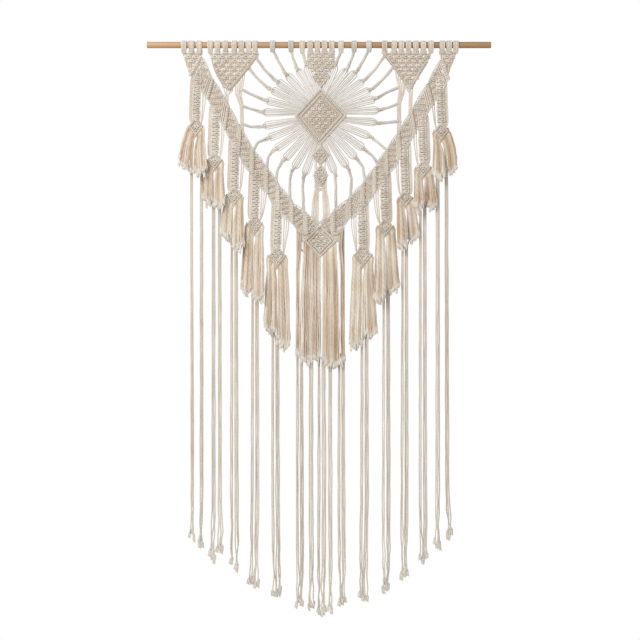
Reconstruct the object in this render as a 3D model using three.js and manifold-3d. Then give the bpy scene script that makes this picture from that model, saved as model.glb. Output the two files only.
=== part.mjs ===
// A macrame curtain of 4 mm cotton cord, hitched over a wooden rod.
// Millimetres, +Z up, +X along the rod. The front faces -Y. The origin is the middle of the rod's axis.
// The knotted sections hang in one plane, the tassels a little in front of it, the long strands behind it.
import * as THREE from 'three';
import { mergeVertices } from 'three/addons/utils/BufferGeometryUtils.js';
import Module from 'manifold-3d';

const wasm = await Module();
wasm.setup();

// ---------------------------------------------------------------- driving dimensions

const SEAT_GAP = 0.4; // clearance where one piece meets another

const ROD_LENGTH = 860;
const ROD_RADIUS = 8;
const ROD_SIDES = 24;

const LOOP_WIDTH = 14; // a lark's head: the cords of one hitch side by side
const LOOP_INNER = 9.7; // corner radius of the six-sided ring round the rod
const LOOP_OUTER = 13.6;
const LOOP_SIDES = 6;

const HEADING_Z = -11; // where the knotting starts under the loops
const NOTCH_DEPTH = 9; // the small gap between two hitches

const GROUND_DEPTH = 7; // the close weave of the diamonds, front to back
const KNOT_DEPTH = 9; // square-knot ground
const EDGE_BEVEL = 2;
const RIDGE_DEPTH = 11; // clove-hitch bars
const RIDGE_WIDTH = 6;
const RIDGE_INSET = RIDGE_WIDTH / 2 + 1.5; // from a section's edge to the crest of its bar

const BAND_HALF_WIDTH = 19;
const BAR_END = 8; // the upright bars of a band stop this far inside its edges

const SINNET_WIDTH = 17;
const DROP_Y = -1; // the drops hang just in front of the long strands
const DROP_DEPTH = 8;
const DROP_BEVEL = 3;

const TASSEL_Y = -3.6;
const TASSEL_DEPTH = 11;
const HEAD_DROP = 7; // from a diamond's foot down to the wrap that holds the two lobes together
const HEAD_DEPTH = 8;

const SPINE_Y = 7.4; // heads of the long strands, carried behind the band
const SPINE_DEPTH = 2.8;
const SPINE_WIDTH = 13;
const SPINE_START = 24; // below the band's outer block edge
const SPINE_END = { x: 13, z: 14 }; // beside and above the middle of the point diamond
const STRAND_Y = 6.4;
const STRAND_DEPTH = 4.6;
const STRAND_BEND_Z = -1120;
const STRAND_HEAD = { width: 0.8, depth: 0.3 }; // shares of a strand's own width and depth
const FLARE_LENGTH = 26;

const FAN_ROOT = 8.5; // cords of one spoke where they enter the sun
const FAN_WIDTH = 21; // the same cords at the shoulder of their fan
const FAN_DEPTH = 4.6;
const SHOULDER = 19; // from the knot's centre back to the shoulder
const KNOT = { length: 8, width: 10, depth: 8 };
const NECK = { width: 7, endWidth: 9, depth: 6 }; // the gathered cords outside the knot
const TRIM_REACH = 4; // how far a piece runs into the room that trims it

const SUN_BORDERS = [0.92, 0.8]; // the two raised borders of the sun, as shares of its size
const POINT_BORDER = 0.8;

const SIDE_HEADER = { width: 18, firstDrop: 4, secondDrop: 12 }; // joins the side cords at their heads
const LEG_HEAD_SHARE = 0.7;
const LEG_FLARE = 3;

const TRIM_DEPTH = 60; // deeper than the whole curtain

const COTTON = { color: 0xe9dfd1, roughness: 0.95, metalness: 0 };
const COTTON_SHADE = { color: 0xdccfbc, roughness: 0.95, metalness: 0 };
const PALE_WOOD = { color: 0xcf9f68, roughness: 0.6, metalness: 0 };

// Rows of numbers become rows with named columns.
const table = (columns, rows) =>
  rows.map((row) => Object.fromEntries(columns.map((name, i) => [name, row[i]])));

const outline = (rows) => table(['x', 'z'], rows);

// Centres of the hitches along the rod, by the section that each one carries.
const LOOPS = {
  cornerLeft: [-338, -319, -299],
  triangleLeft: [-272, -254, -234, -212, -194, -176, -160],
  crown: [-42, -22, -4, 14, 32, 55],
  triangleRight: [164, 188, 206, 224, 242, 261, 280],
  cornerRight: [308, 325, 342],
};

// Lower outline of each knotted section, from its right-hand loop round to its left-hand loop.
const CORNER_LEFT = outline([[-292, -32], [-318, -78], [-323, -80], [-333, -50]]);
const CORNER_RIGHT = outline([[333, -52], [320, -87], [312, -66], [303, -38]]);
const TRIANGLE_LEFT = outline([
  [-155, -33], [-170, -54], [-202, -93], [-220, -115],
  [-227, -115], [-243, -99], [-256, -78], [-267, -50],
]);
const TRIANGLE_RIGHT = outline([
  [272, -45], [259, -66], [244, -90], [231, -113],
  [223, -110], [203, -83], [180, -51], [160, -26],
]);
const CROWN_FIELD = outline([[44, -36], [30, -54], [16, -70], [-8, -70], [-20, -54], [-34, -36]]);

// The sun: top, right, bottom and left corners. Its two upper sides bow out a little.
const SUN = { top: [4, -106], right: [71, -176], bottom: [1, -255], left: [-62, -178], bow: 2.5 };

// Small diamonds: centre, width and height.
const CROWN_DIAMOND = { x: 4, z: -82, width: 40, height: 42 };
const CENTRE_DIAMOND = { x: 3, z: -279, width: 39, height: 41 };
const CENTRE_LEAF = { x: 4, z: -331, width: 32, height: 76 };
const POINT_DIAMOND = { x: 3, z: -490, width: 86, height: 86 };

// Legs of loose cord from the centre leaf down to the band.
const CENTRE_LEGS = table(
  ['topX', 'topZ', 'midX', 'midZ', 'endX', 'endZ', 'width'],
  [
    [-4, -352, -9, -392, -11, -450, 17],
    [12, -352, 17, -392, 20, -450, 17],
  ],
);

// Block edges down the middle of each band, from the corner section to the top of the point diamond.
const BAND_LEFT = outline([
  [-307, -60], [-272, -110], [-231, -182], [-198, -242], [-164, -294],
  [-129, -340], [-101, -381], [-66, -421], [-30, -447], [2, -476],
]);
const BAND_RIGHT = outline([
  [308, -60], [278, -124], [236, -192], [202, -248], [171, -291],
  [141, -335], [112, -372], [78, -407], [38, -440], [4, -473],
]);

// Spokes from the top down: the knot, the bend outside it and the far end.
const SPOKE_COLUMNS = ['knotX', 'knotZ', 'bendX', 'bendZ', 'endX', 'endZ'];
const SPOKES_LEFT = table(SPOKE_COLUMNS, [
  [-58, -55, -65, -34, -70, -12],
  [-86, -70, -101, -42, -116, -12],
  [-115, -84, -137, -61, -158, -31],
  [-132, -105, -155, -83, -178, -54],
  [-144, -135, -168, -124, -193, -111],
  [-149, -167, -169, -160, -192, -152],
  [-148, -205, -170, -205, -192, -197],
  [-138, -238, -154, -244, -166, -268],
  [-119, -268, -128, -281, -131, -312],
  [-95, -295, -104, -312, -108, -350],
  [-70, -318, -73, -338, -73, -392],
  [-39, -330, -41, -352, -38, -422],
]);
const SPOKES_RIGHT = table(SPOKE_COLUMNS, [
  [74, -55, 82, -34, 88, -12],
  [100, -60, 111, -38, 125, -12],
  [119, -84, 140, -61, 163, -28],
  [138, -107, 160, -86, 186, -55],
  [152, -130, 174, -116, 198, -107],
  [155, -162, 174, -156, 198, -147],
  [150, -196, 172, -194, 198, -191],
  [132, -231, 150, -246, 176, -268],
  [119, -265, 133, -276, 148, -298],
  [98, -288, 110, -306, 116, -346],
  [76, -312, 81, -332, 79, -388],
  [42, -325, 42, -352, 42, -422],
]);
const UPPER_SPOKES = 6;
const LOWER_SPOKES = 6;
const LOOP_SPOKES = 2; // the first two on each side hang on rod loops of their own
const CROWN_RAYS = table(SPOKE_COLUMNS, [
  [-31, -46, -36, -33, -40, -12],
  [40, -46, 48, -33, 54, -12],
]);

// Loose cords from the foot of each large triangle down to the band.
const SIDE_CORDS_LEFT = table(
  ['topX', 'topZ', 'topWidth', 'midX', 'midZ', 'endX', 'endZ', 'width'],
  [
    [-210, -92, 24, -193, -152, -192, -268, 10],
    [-229, -100, 10, -231, -128, -233, -180, 11],
  ],
);
const SIDE_CORDS_RIGHT = table(
  ['topX', 'topZ', 'topWidth', 'midX', 'midZ', 'endX', 'endZ', 'width'],
  [
    [212, -90, 22, 200, -146, 199, -268, 11],
    [231, -100, 10, 229, -130, 228, -190, 10],
  ],
);

// Drops: a square-knot sinnet with a diamond at its foot.
const DROP_COLUMNS = ['x', 'top', 'diamondTop', 'diamondFoot', 'diamondWidth'];
const DROPS_LEFT = table(DROP_COLUMNS, [
  [-308, -88, -179, -229, 38],
  [-261, -160, -264, -313, 39],
  [-212, -240, -350, -402, 39],
  [-161, -320, -418, -475, 39],
  [-105, -395, -499, -557, 46],
]);
const DROPS_RIGHT = table(DROP_COLUMNS, [
  [306, -92, -190, -240, 38],
  [261, -185, -282, -331, 39],
  [216, -250, -359, -406, 36],
  [166, -325, -429, -478, 41],
  [110, -395, -493, -556, 46],
]);

// Tassels: each has two lobes of cut cord. lean is how far the foot stands forward, skew tilts its cut end.
const lobes = (...rows) =>
  table(['topX', 'topZ', 'footX', 'footZ', 'topWidth', 'footWidth', 'lean', 'skew'], rows);
const TASSELS_LEFT = [
  lobes(
    [-329, -207, -342, -322, 20, 36, 2, -0.25],
    [-296, -207, -290, -342, 20, 31, 13, 0.1],
  ),
  lobes(
    [-277, -292, -282, -413, 20, 30, 0, 0],
    [-249, -292, -244, -426, 20, 28, 13, 0.1],
  ),
  lobes(
    [-228, -380, -236, -497, 22, 33, 0, -0.2],
    [-199, -380, -198, -528, 22, 30, 13, 0],
  ),
  lobes(
    [-176, -452, -184, -634, 22, 30, 0, -0.3],
    [-148, -452, -151, -657, 22, 33, 13, 0],
  ),
  lobes(
    [-119, -535, -124, -732, 25, 36, 0, -0.25],
    [-89, -535, -84, -772, 26, 29, 0, -0.1],
  ),
];
const TASSELS_RIGHT = [
  lobes(
    [328, -218, 338, -334, 20, 28, 2, 0.1],
    [295, -218, 294, -350, 20, 30, 13, -0.2],
  ),
  lobes(
    [276, -312, 284, -424, 22, 36, 0, 0.1],
    [246, -312, 249, -430, 20, 30, 13, 0.1],
  ),
  lobes(
    [230, -385, 242, -508, 20, 36, 0, 0.25],
    [202, -385, 208, -526, 20, 32, 13, 0.1],
  ),
  lobes(
    [181, -455, 188, -634, 22, 37, 0, 0.2],
    [152, -455, 148, -658, 22, 30, 13, 0],
  ),
  lobes(
    [124, -535, 130, -745, 26, 40, 0, 0.2],
    [93, -535, 86, -776, 22, 28, 0, 0],
  ),
];
const CENTRE_FRINGE = lobes(
  [-26, -478, -28, -806, 62, 66, 0, 0],
  [36, -478, 38, -818, 54, 60, 0, 0],
);

// Sections of a lobe, down from its gathered neck to its cut end. spread is the share of the way from the
// top width to the foot width; the last four are shares of the lobe's width, depth, lean and skew.
const LOBE_SECTIONS = table(
  ['along', 'spread', 'width', 'depth', 'lean', 'skew'],
  [
    [0, 0, 0.7, 0.6, 0, 0],
    [0.25, 0, 1, 1, 0.4, 0],
    [0.7, 0.5, 1, 1, 1, 0],
    [1, 1, 1, 0.7, 1, 1],
  ],
);

// Long strands: each row is one bundle of the comb, from the band to its frayed end.
const STRAND_COLUMNS = ['topX', 'topZ', 'bendX', 'footX', 'footZ', 'width', 'flare'];
const LONG_LEFT = table(STRAND_COLUMNS, [
  [-320, -86, -317, -320, -1240, 9, 22],
  [-294, -100, -294, -296, -1258, 10, 22],
  [-264, -142, -264, -266, -1292, 11, 17],
  [-249, -168, -248, -247, -1270, 11, 20],
  [-213, -220, -212, -211, -1316, 22, 26],
  [-160, -302, -160, -164, -1358, 22, 32],
  [-110, -366, -109, -106, -1384, 22, 30],
  [-49, -436, -48, -47, -1410, 20, 26],
  [-20, -462, -20, -18, -1426, 12, 16],
]);
const LONG_RIGHT = table(STRAND_COLUMNS, [
  [6, -470, 7, 6, -1427, 22, 24],
  [28, -458, 28, 30, -1423, 11, 15],
  [56, -430, 56, 58, -1411, 20, 30],
  [114, -370, 114, 110, -1396, 22, 33],
  [168, -296, 168, 168, -1368, 22, 28],
  [215, -228, 214, 213, -1336, 20, 36],
  [260, -155, 260, 262, -1298, 22, 30],
  [297, -86, 297, 296, -1262, 12, 26],
  [318, -80, 321, 325, -1242, 11, 18],
]);
// ---------------------------------------------------------------- solids

// A closed solid from any closed geometry.
function solidOf(geometry) {
  const bare = geometry.clone();
  bare.deleteAttribute('normal');
  bare.deleteAttribute('uv');
  const merged = mergeVertices(bare, 1e-4);
  const mesh = new wasm.Mesh({
    numProp: 3,
    vertProperties: new Float32Array(merged.attributes.position.array),
    triVerts: new Uint32Array(merged.index.array),
  });
  return new wasm.Manifold(mesh);
}

const join = (solids) => solids.reduce((all, next) => all.add(next));
const cut = (solid, cutters) => cutters.reduce((rest, cutter) => rest.subtract(cutter), solid);

function geometryOf(solid) {
  const mesh = solid.getMesh();
  const geometry = new THREE.BufferGeometry();
  geometry.setAttribute('position', new THREE.BufferAttribute(mesh.vertProperties, 3));
  geometry.setIndex(new THREE.BufferAttribute(mesh.triVerts, 1));
  geometry.computeVertexNormals();
  return geometry;
}

// A flat plate in the XZ plane, middle at y, with bevelled edges inside its outline.
function plate(points, depth, y = 0, bevel = EDGE_BEVEL) {
  const shape = new THREE.Shape(points.map((p) => new THREE.Vector2(p.x, p.z)));
  const geometry = new THREE.ExtrudeGeometry(shape, {
    depth: depth - 2 * bevel,
    bevelEnabled: bevel > 0,
    bevelThickness: bevel,
    bevelSize: bevel,
    bevelOffset: -bevel,
    bevelSegments: 1,
  });
  geometry.rotateX(Math.PI / 2);
  geometry.translate(0, y + depth / 2 - bevel, 0);
  return solidOf(geometry);
}

// The room that a plate's outline needs, cut through everything that meets its edge.
function room(points, clearance = SEAT_GAP) {
  const shape = new THREE.Shape(points.map((p) => new THREE.Vector2(p.x, p.z)));
  const geometry = new THREE.ExtrudeGeometry(shape, {
    depth: TRIM_DEPTH,
    bevelEnabled: true,
    bevelThickness: 0,
    bevelSize: 0,
    bevelOffset: clearance,
    bevelSegments: 0,
  });
  geometry.rotateX(Math.PI / 2);
  geometry.translate(0, TRIM_DEPTH / 2, 0);
  return solidOf(geometry);
}

// A bundle of cord: an oval section carried along rows of { x, y, z, width, depth, skew } in the XZ plane.
function bundle(rows, sides = 6) {
  const centres = rows.map((row) => new THREE.Vector3(row.x, row.y ?? 0, row.z));
  const forward = new THREE.Vector3(0, 1, 0);
  const position = [];
  rows.forEach((row, i) => {
    const before = centres[Math.max(i - 1, 0)];
    const after = centres[Math.min(i + 1, rows.length - 1)];
    const along = after.clone().sub(before).setY(0).normalize();
    const across = forward.clone().cross(along);
    for (let k = 0; k < sides; k += 1) {
      const turn = (2 * Math.PI * k) / sides;
      const reach = (row.width / 2) * Math.cos(turn);
      const point = centres[i]
        .clone()
        .addScaledVector(across, reach)
        .addScaledVector(forward, (row.depth / 2) * Math.sin(turn));
      point.z += (row.skew ?? 0) * reach * across.x;
      position.push(point.x, point.y, point.z);
    }
  });
  const index = [];
  const last = (rows.length - 1) * sides;
  for (let i = 0; i < rows.length - 1; i += 1) {
    for (let k = 0; k < sides; k += 1) {
      const a = i * sides + k;
      const b = i * sides + ((k + 1) % sides);
      index.push(a, b, b + sides, a, b + sides, a + sides);
    }
  }
  for (let k = 1; k < sides - 1; k += 1) {
    index.push(0, k + 1, k);
    index.push(last, last + k, last + k + 1);
  }
  const geometry = new THREE.BufferGeometry();
  geometry.setAttribute('position', new THREE.Float32BufferAttribute(position, 3));
  geometry.setIndex(index);
  return solidOf(geometry);
}

// A clove-hitch bar between two points, with a crest along its middle.
function ridge(from, to) {
  const rows = [from, to].map(({ x, z }) => ({ x, z, width: RIDGE_WIDTH, depth: RIDGE_DEPTH }));
  return bundle(rows, 4);
}

const ridges = (points) => points.slice(1).map((point, i) => ridge(points[i], point));

// A line moved in from a section's outline, which runs clockwise seen from the front.
function movedIn(points, distance = RIDGE_INSET) {
  return points.map((point, i) => {
    const before = points[Math.max(i - 1, 0)];
    const after = points[Math.min(i + 1, points.length - 1)];
    const length = Math.hypot(after.x - before.x, after.z - before.z);
    return {
      x: point.x + ((after.z - before.z) / length) * distance,
      z: point.z - ((after.x - before.x) / length) * distance,
    };
  });
}

// One hitch round the rod.
function rodLoop(x) {
  const ring = (radius) =>
    Array.from({ length: LOOP_SIDES }, (_, k) => {
      const turn = (2 * Math.PI * (k + 0.5)) / LOOP_SIDES;
      return new THREE.Vector2(radius * Math.cos(turn), radius * Math.sin(turn));
    });
  const shape = new THREE.Shape(ring(LOOP_OUTER));
  shape.holes.push(new THREE.Path(ring(LOOP_INNER)));
  const geometry = new THREE.ExtrudeGeometry(shape, { depth: LOOP_WIDTH, bevelEnabled: false });
  geometry.rotateY(Math.PI / 2);
  geometry.translate(x - LOOP_WIDTH / 2, 0, 0);
  return solidOf(geometry);
}

// Outline of a section that hangs on loops: notched between the loops, then its lower outline.
function hungOutline(loops, lower) {
  const half = LOOP_WIDTH / 2;
  const heading = [];
  loops.forEach((x, i) => {
    heading.push({ x: x - half, z: HEADING_Z }, { x: x + half, z: HEADING_Z });
    if (i < loops.length - 1) {
      heading.push({ x: (x + loops[i + 1]) / 2, z: HEADING_Z - NOTCH_DEPTH });
    }
  });
  return [...heading, ...lower];
}

function hungSection(loops, lower, edge) {
  const ground = plate(hungOutline(loops, lower), KNOT_DEPTH, 0, 0);
  return join([ground, ...loops.map(rodLoop), ...ridges(movedIn(edge))]);
}

const rhombus = ({ x, z, width, height }) => [
  { x, z: z + height / 2 },
  { x: x + width / 2, z },
  { x, z: z - height / 2 },
  { x: x - width / 2, z },
];

// Points moved towards a centre, so that a bar lies just inside an outline.
const drawnIn = (points, centre, share) =>
  points.map((p) => ({ x: centre.x + (p.x - centre.x) * share, z: centre.z + (p.z - centre.z) * share }));

function borderedDiamond(size) {
  const corners = rhombus(size);
  const border = drawnIn([...corners, corners[0]], size, POINT_BORDER);
  return join([plate(corners, GROUND_DEPTH), ...ridges(border)]);
}

const plainDiamond = (corners, y = 0) => plate(corners, DROP_DEPTH, y, DROP_BEVEL);

// ---------------------------------------------------------------- sections

const sunCorners = ['top', 'right', 'bottom', 'left'].map((name) => ({ x: SUN[name][0], z: SUN[name][1] }));
const [sunTop, sunRight, sunBottom, sunLeft] = sunCorners;
const sunCentre = { x: (sunLeft.x + sunRight.x) / 2, z: (sunTop.z + sunBottom.z) / 2 };

function bowed(from, to, bow) {
  const length = Math.hypot(to.x - from.x, to.z - from.z);
  const outX = -(to.z - from.z) / length;
  const outZ = (to.x - from.x) / length;
  return [0.25, 0.5, 0.75].map((t) => {
    const rise = bow * Math.sin(Math.PI * t);
    return {
      x: THREE.MathUtils.lerp(from.x, to.x, t) + outX * rise,
      z: THREE.MathUtils.lerp(from.z, to.z, t) + outZ * rise,
    };
  });
}

const sunOutline = [
  sunTop,
  ...bowed(sunTop, sunRight, SUN.bow),
  sunRight,
  sunBottom,
  sunLeft,
  ...bowed(sunLeft, sunTop, SUN.bow),
];

function sunDiamond() {
  const closed = [...sunCorners, sunCorners[0]];
  const borders = SUN_BORDERS.flatMap((share) => ridges(drawnIn(closed, sunCentre, share)));
  return join([plate(sunOutline, GROUND_DEPTH), ...borders]);
}

// Upper and lower edge of a band. The block edges stand upright, so they are longer where the band is steep.
function bandEdges(blocks) {
  return blocks.map((here, i) => {
    const before = blocks[Math.max(i - 1, 0)];
    const after = blocks[Math.min(i + 1, blocks.length - 1)];
    const slope = (after.z - before.z) / (after.x - before.x);
    const half = BAND_HALF_WIDTH * Math.hypot(1, slope);
    return { x: here.x, upper: here.z + half, lower: here.z - half };
  });
}

function bandOutline(blocks) {
  const edges = bandEdges(blocks);
  const upper = edges.map(({ x, upper: z }) => ({ x, z }));
  const lower = edges.map(({ x, lower: z }) => ({ x, z }));
  return [...upper, ...lower.reverse()];
}

// A band: knotted ground with an upright bar between its blocks.
function band(blocks) {
  const between = bandEdges(blocks).slice(1, -1);
  const bars = between.map(({ x, upper, lower }) =>
    ridge({ x, z: upper - BAR_END }, { x, z: lower + BAR_END }),
  );
  return join([plate(bandOutline(blocks), KNOT_DEPTH, 0, 0), ...bars]);
}

// A spoke from the sun's border to its far end. root is the middle of its place on the border.
function spoke(root, row) {
  const length = Math.hypot(row.knotX - root.x, row.knotZ - root.z);
  const onLine = (distance, width, depth) => ({
    x: THREE.MathUtils.lerp(root.x, row.knotX, distance / length),
    z: THREE.MathUtils.lerp(root.z, row.knotZ, distance / length),
    width,
    depth,
  });
  return bundle([
    onLine(-TRIM_REACH, FAN_ROOT, FAN_DEPTH),
    onLine(length - SHOULDER, FAN_WIDTH, FAN_DEPTH),
    onLine(length - KNOT.length / 2, KNOT.width, KNOT.depth),
    { x: row.bendX, z: row.bendZ, width: NECK.width, depth: NECK.depth },
    { x: row.endX, z: row.endZ, width: NECK.endWidth, depth: NECK.depth },
  ]);
}

// Middle of a numbered place on the sun's border, counted down from its top corner on the given side.
// Place 0 is the crown's ray, and the spokes follow from 1.
function placeOnSun(place, sideCorner) {
  const upper = place <= UPPER_SPOKES;
  const from = upper ? sunTop : sideCorner;
  const to = upper ? sideCorner : sunBottom;
  const number = upper ? place : place - UPPER_SPOKES - 1;
  const t = (number + 0.5) / (upper ? UPPER_SPOKES + 1 : LOWER_SPOKES);
  return { x: THREE.MathUtils.lerp(from.x, to.x, t), z: THREE.MathUtils.lerp(from.z, to.z, t) };
}

// grow makes the same cords thicker all round, for the room that others leave them.
function sideCords(rows, grow = 0) {
  const depth = STRAND_DEPTH + grow;
  const solids = rows.map((row) =>
    bundle([
      { x: row.topX, z: row.topZ, width: row.topWidth + grow, depth },
      { x: row.midX, z: row.midZ, width: row.width + grow, depth },
      { x: row.endX, z: row.endZ, width: row.width + grow, depth },
    ]),
  );
  const [first, second] = rows;
  const { width, firstDrop, secondDrop } = SIDE_HEADER;
  const header = bundle([
    { x: first.topX, z: first.topZ - firstDrop, width, depth: STRAND_DEPTH },
    { x: second.topX, z: second.topZ - secondDrop, width, depth: STRAND_DEPTH },
  ]);
  return join([...solids, header]);
}

const dropOutline = (row) =>
  rhombus({
    x: row.x,
    z: (row.diamondTop + row.diamondFoot) / 2,
    width: row.diamondWidth,
    height: row.diamondTop - row.diamondFoot,
  });

function drop(row) {
  const section = { x: row.x, y: DROP_Y, width: SINNET_WIDTH, depth: DROP_DEPTH };
  const sinnet = bundle([
    { ...section, z: row.top },
    { ...section, z: (row.diamondTop + row.diamondFoot) / 2 },
  ]);
  return join([sinnet, plainDiamond(dropOutline(row), DROP_Y)]);
}

function lobe(row) {
  return bundle(
    LOBE_SECTIONS.map((section) => ({
      x: THREE.MathUtils.lerp(row.topX, row.footX, section.along),
      y: TASSEL_Y - row.lean * section.lean,
      z: THREE.MathUtils.lerp(row.topZ, row.footZ, section.along),
      width: THREE.MathUtils.lerp(row.topWidth, row.footWidth, section.spread) * section.width,
      depth: TASSEL_DEPTH * section.depth,
      skew: row.skew * section.skew,
    })),
  );
}

// The two lobes of a tassel meet in a wrap just under the diamond that they hang from.
function tassel(rows, diamondFoot) {
  const z = diamondFoot - HEAD_DROP;
  const section = { y: TASSEL_Y, z, width: HEAD_DROP, depth: HEAD_DEPTH };
  const wrap = bundle(rows.map(({ topX }) => ({ ...section, x: topX })));
  return join([...rows.map(lobe), wrap]);
}

// A comb of long strands: the spine runs along the back of the band, and each tooth is one bundle.
function longFringe(rows, spineRows) {
  const spine = bundle(
    spineRows.map(({ x, z }) => ({ x, y: SPINE_Y, z, width: SPINE_WIDTH, depth: SPINE_DEPTH })),
  );
  const teeth = rows.map((row) =>
    bundle([
      {
        x: row.topX,
        z: row.topZ,
        y: SPINE_Y,
        width: row.width * STRAND_HEAD.width,
        depth: STRAND_DEPTH * STRAND_HEAD.depth,
      },
      { x: row.bendX, z: STRAND_BEND_Z, y: STRAND_Y, width: row.width, depth: STRAND_DEPTH },
      { x: row.footX, z: row.footZ + FLARE_LENGTH, y: STRAND_Y, width: row.width, depth: STRAND_DEPTH },
      { x: row.footX, z: row.footZ, y: STRAND_Y, width: row.flare, depth: STRAND_DEPTH },
    ]),
  );
  return join([spine, ...teeth]);
}

// ---------------------------------------------------------------- assembly

const curtain = new THREE.Group();

function addPiece(name, geometry, look = COTTON) {
  const mesh = new THREE.Mesh(geometry, new THREE.MeshStandardMaterial(look));
  mesh.name = name;
  curtain.add(mesh);
}

// A solid piece, trimmed to leave room for its neighbours.
function addTrimmed(name, solid, rooms = [], look = COTTON) {
  addPiece(name, geometryOf(cut(solid, rooms)), look);
}

const crownLoops = LOOPS.crown.slice(1, -1);
const crownRayLoops = [LOOPS.crown[0], LOOPS.crown.at(-1)];
const sunRoom = room(sunOutline);
const pointRoom = room(rhombus(POINT_DIAMOND));
const crownRooms = [room(hungOutline(crownLoops, CROWN_FIELD)), room(rhombus(CROWN_DIAMOND))];
const centreRoom = room(rhombus(CENTRE_DIAMOND));

const rod = new THREE.CylinderGeometry(ROD_RADIUS, ROD_RADIUS, ROD_LENGTH, ROD_SIDES);
rod.rotateZ(Math.PI / 2);
addPiece('rod', rod, PALE_WOOD);

addTrimmed('sun_diamond', sunDiamond());
addTrimmed('point_diamond', borderedDiamond(POINT_DIAMOND));

const crownRays = CROWN_RAYS.map((row, i) => spoke(placeOnSun(0, [sunLeft, sunRight][i]), row));
const crownField = hungSection(crownLoops, CROWN_FIELD, []);
const crownDiamond = plainDiamond(rhombus(CROWN_DIAMOND));
const crown = join([crownField, crownDiamond, ...crownRayLoops.map(rodLoop), ...crownRays]);
addTrimmed('crown', crown, [sunRoom]);

const sides = [
  {
    name: 'left',
    cornerLoops: LOOPS.cornerLeft,
    corner: CORNER_LEFT,
    cornerBar: CORNER_LEFT.slice(0, 2),
    triangleLoops: LOOPS.triangleLeft,
    triangle: TRIANGLE_LEFT,
    blocks: BAND_LEFT,
    sunCorner: sunLeft,
    spokes: SPOKES_LEFT,
    cords: SIDE_CORDS_LEFT,
    drops: DROPS_LEFT,
    tassels: TASSELS_LEFT,
    strands: LONG_LEFT,
    outerStrand: LONG_LEFT[0],
    inward: -1,
  },
  {
    name: 'right',
    cornerLoops: LOOPS.cornerRight,
    corner: CORNER_RIGHT,
    cornerBar: CORNER_RIGHT.slice(1),
    triangleLoops: LOOPS.triangleRight,
    triangle: TRIANGLE_RIGHT,
    blocks: BAND_RIGHT,
    sunCorner: sunRight,
    spokes: SPOKES_RIGHT,
    cords: SIDE_CORDS_RIGHT,
    drops: DROPS_RIGHT,
    tassels: TASSELS_RIGHT,
    strands: LONG_RIGHT,
    outerStrand: LONG_RIGHT.at(-1),
    inward: 1,
  },
];

sides.forEach((side) => {
  addTrimmed(`corner_${side.name}`, hungSection(side.cornerLoops, side.corner, side.cornerBar));
  addTrimmed(`triangle_${side.name}`, hungSection(side.triangleLoops, side.triangle, side.triangle));
});

const bandRooms = sides.map(({ blocks }) => room(bandOutline(blocks)));

sides.forEach((side, i) => {
  const cornerRoom = room(hungOutline(side.cornerLoops, side.corner));
  const triangleRoom = room(hungOutline(side.triangleLoops, side.triangle));
  addTrimmed(`band_${side.name}`, band(side.blocks), [cornerRoom, triangleRoom, pointRoom]);
  addTrimmed(`side_cords_${side.name}`, sideCords(side.cords), [triangleRoom, bandRooms[i]]);

  const cordRoom = sideCords(side.cords, 2 * SEAT_GAP);
  const spokeRooms = [sunRoom, triangleRoom, bandRooms[i], cordRoom, ...crownRooms, centreRoom];
  side.spokes.forEach((row, index) => {
    const place = index + 1;
    const body = cut(spoke(placeOnSun(place, side.sunCorner), row), spokeRooms);
    addTrimmed(`spoke_${side.name}_${place}`, place <= LOOP_SPOKES ? body.add(rodLoop(row.endX)) : body);
  });

  side.drops.forEach((row, index) => {
    const rooms = [room(dropOutline(row)), bandRooms[i]];
    const cutCords = tassel(side.tassels[index], row.diamondFoot);
    addTrimmed(`drop_${side.name}_${index + 1}`, drop(row), [bandRooms[i]]);
    addTrimmed(`tassel_${side.name}_${index + 1}`, cutCords, rooms, COTTON_SHADE);
  });

  const spineTop = { x: side.outerStrand.topX, z: side.blocks[0].z - SPINE_START };
  const spineFoot = { x: POINT_DIAMOND.x + side.inward * SPINE_END.x, z: POINT_DIAMOND.z + SPINE_END.z };
  const spine = [spineTop, ...side.blocks.slice(1, -1), spineFoot];
  addTrimmed(`long_fringe_${side.name}`, longFringe(side.strands, spine));
});

const centreLegs = CENTRE_LEGS.map((row) =>
  bundle([
    { x: row.topX, z: row.topZ, width: row.width * LEG_HEAD_SHARE, depth: STRAND_DEPTH },
    { x: row.midX, z: row.midZ, width: row.width, depth: STRAND_DEPTH },
    { x: row.endX, z: row.endZ, width: row.width + LEG_FLARE, depth: STRAND_DEPTH },
  ]),
);
const centreDiamonds = [CENTRE_DIAMOND, CENTRE_LEAF].map((size) => plainDiamond(rhombus(size)));
addTrimmed('centre_drop', join([...centreDiamonds, ...centreLegs]), [sunRoom, pointRoom, ...bandRooms]);

const pointFoot = POINT_DIAMOND.z - POINT_DIAMOND.height / 2;
addTrimmed('centre_fringe', tassel(CENTRE_FRINGE, pointFoot), [pointRoom, ...bandRooms], COTTON_SHADE);

export default curtain;
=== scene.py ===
"""A macrame curtain of 4 mm cotton cord on a wooden rod.

The knotted sections hang in one plane, the tassels stand a little in front of it and the long strands
hang behind it. Metres, +Z up, +X along the rod, front towards -Y.
"""

import math
import random
from collections import namedtuple

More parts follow.
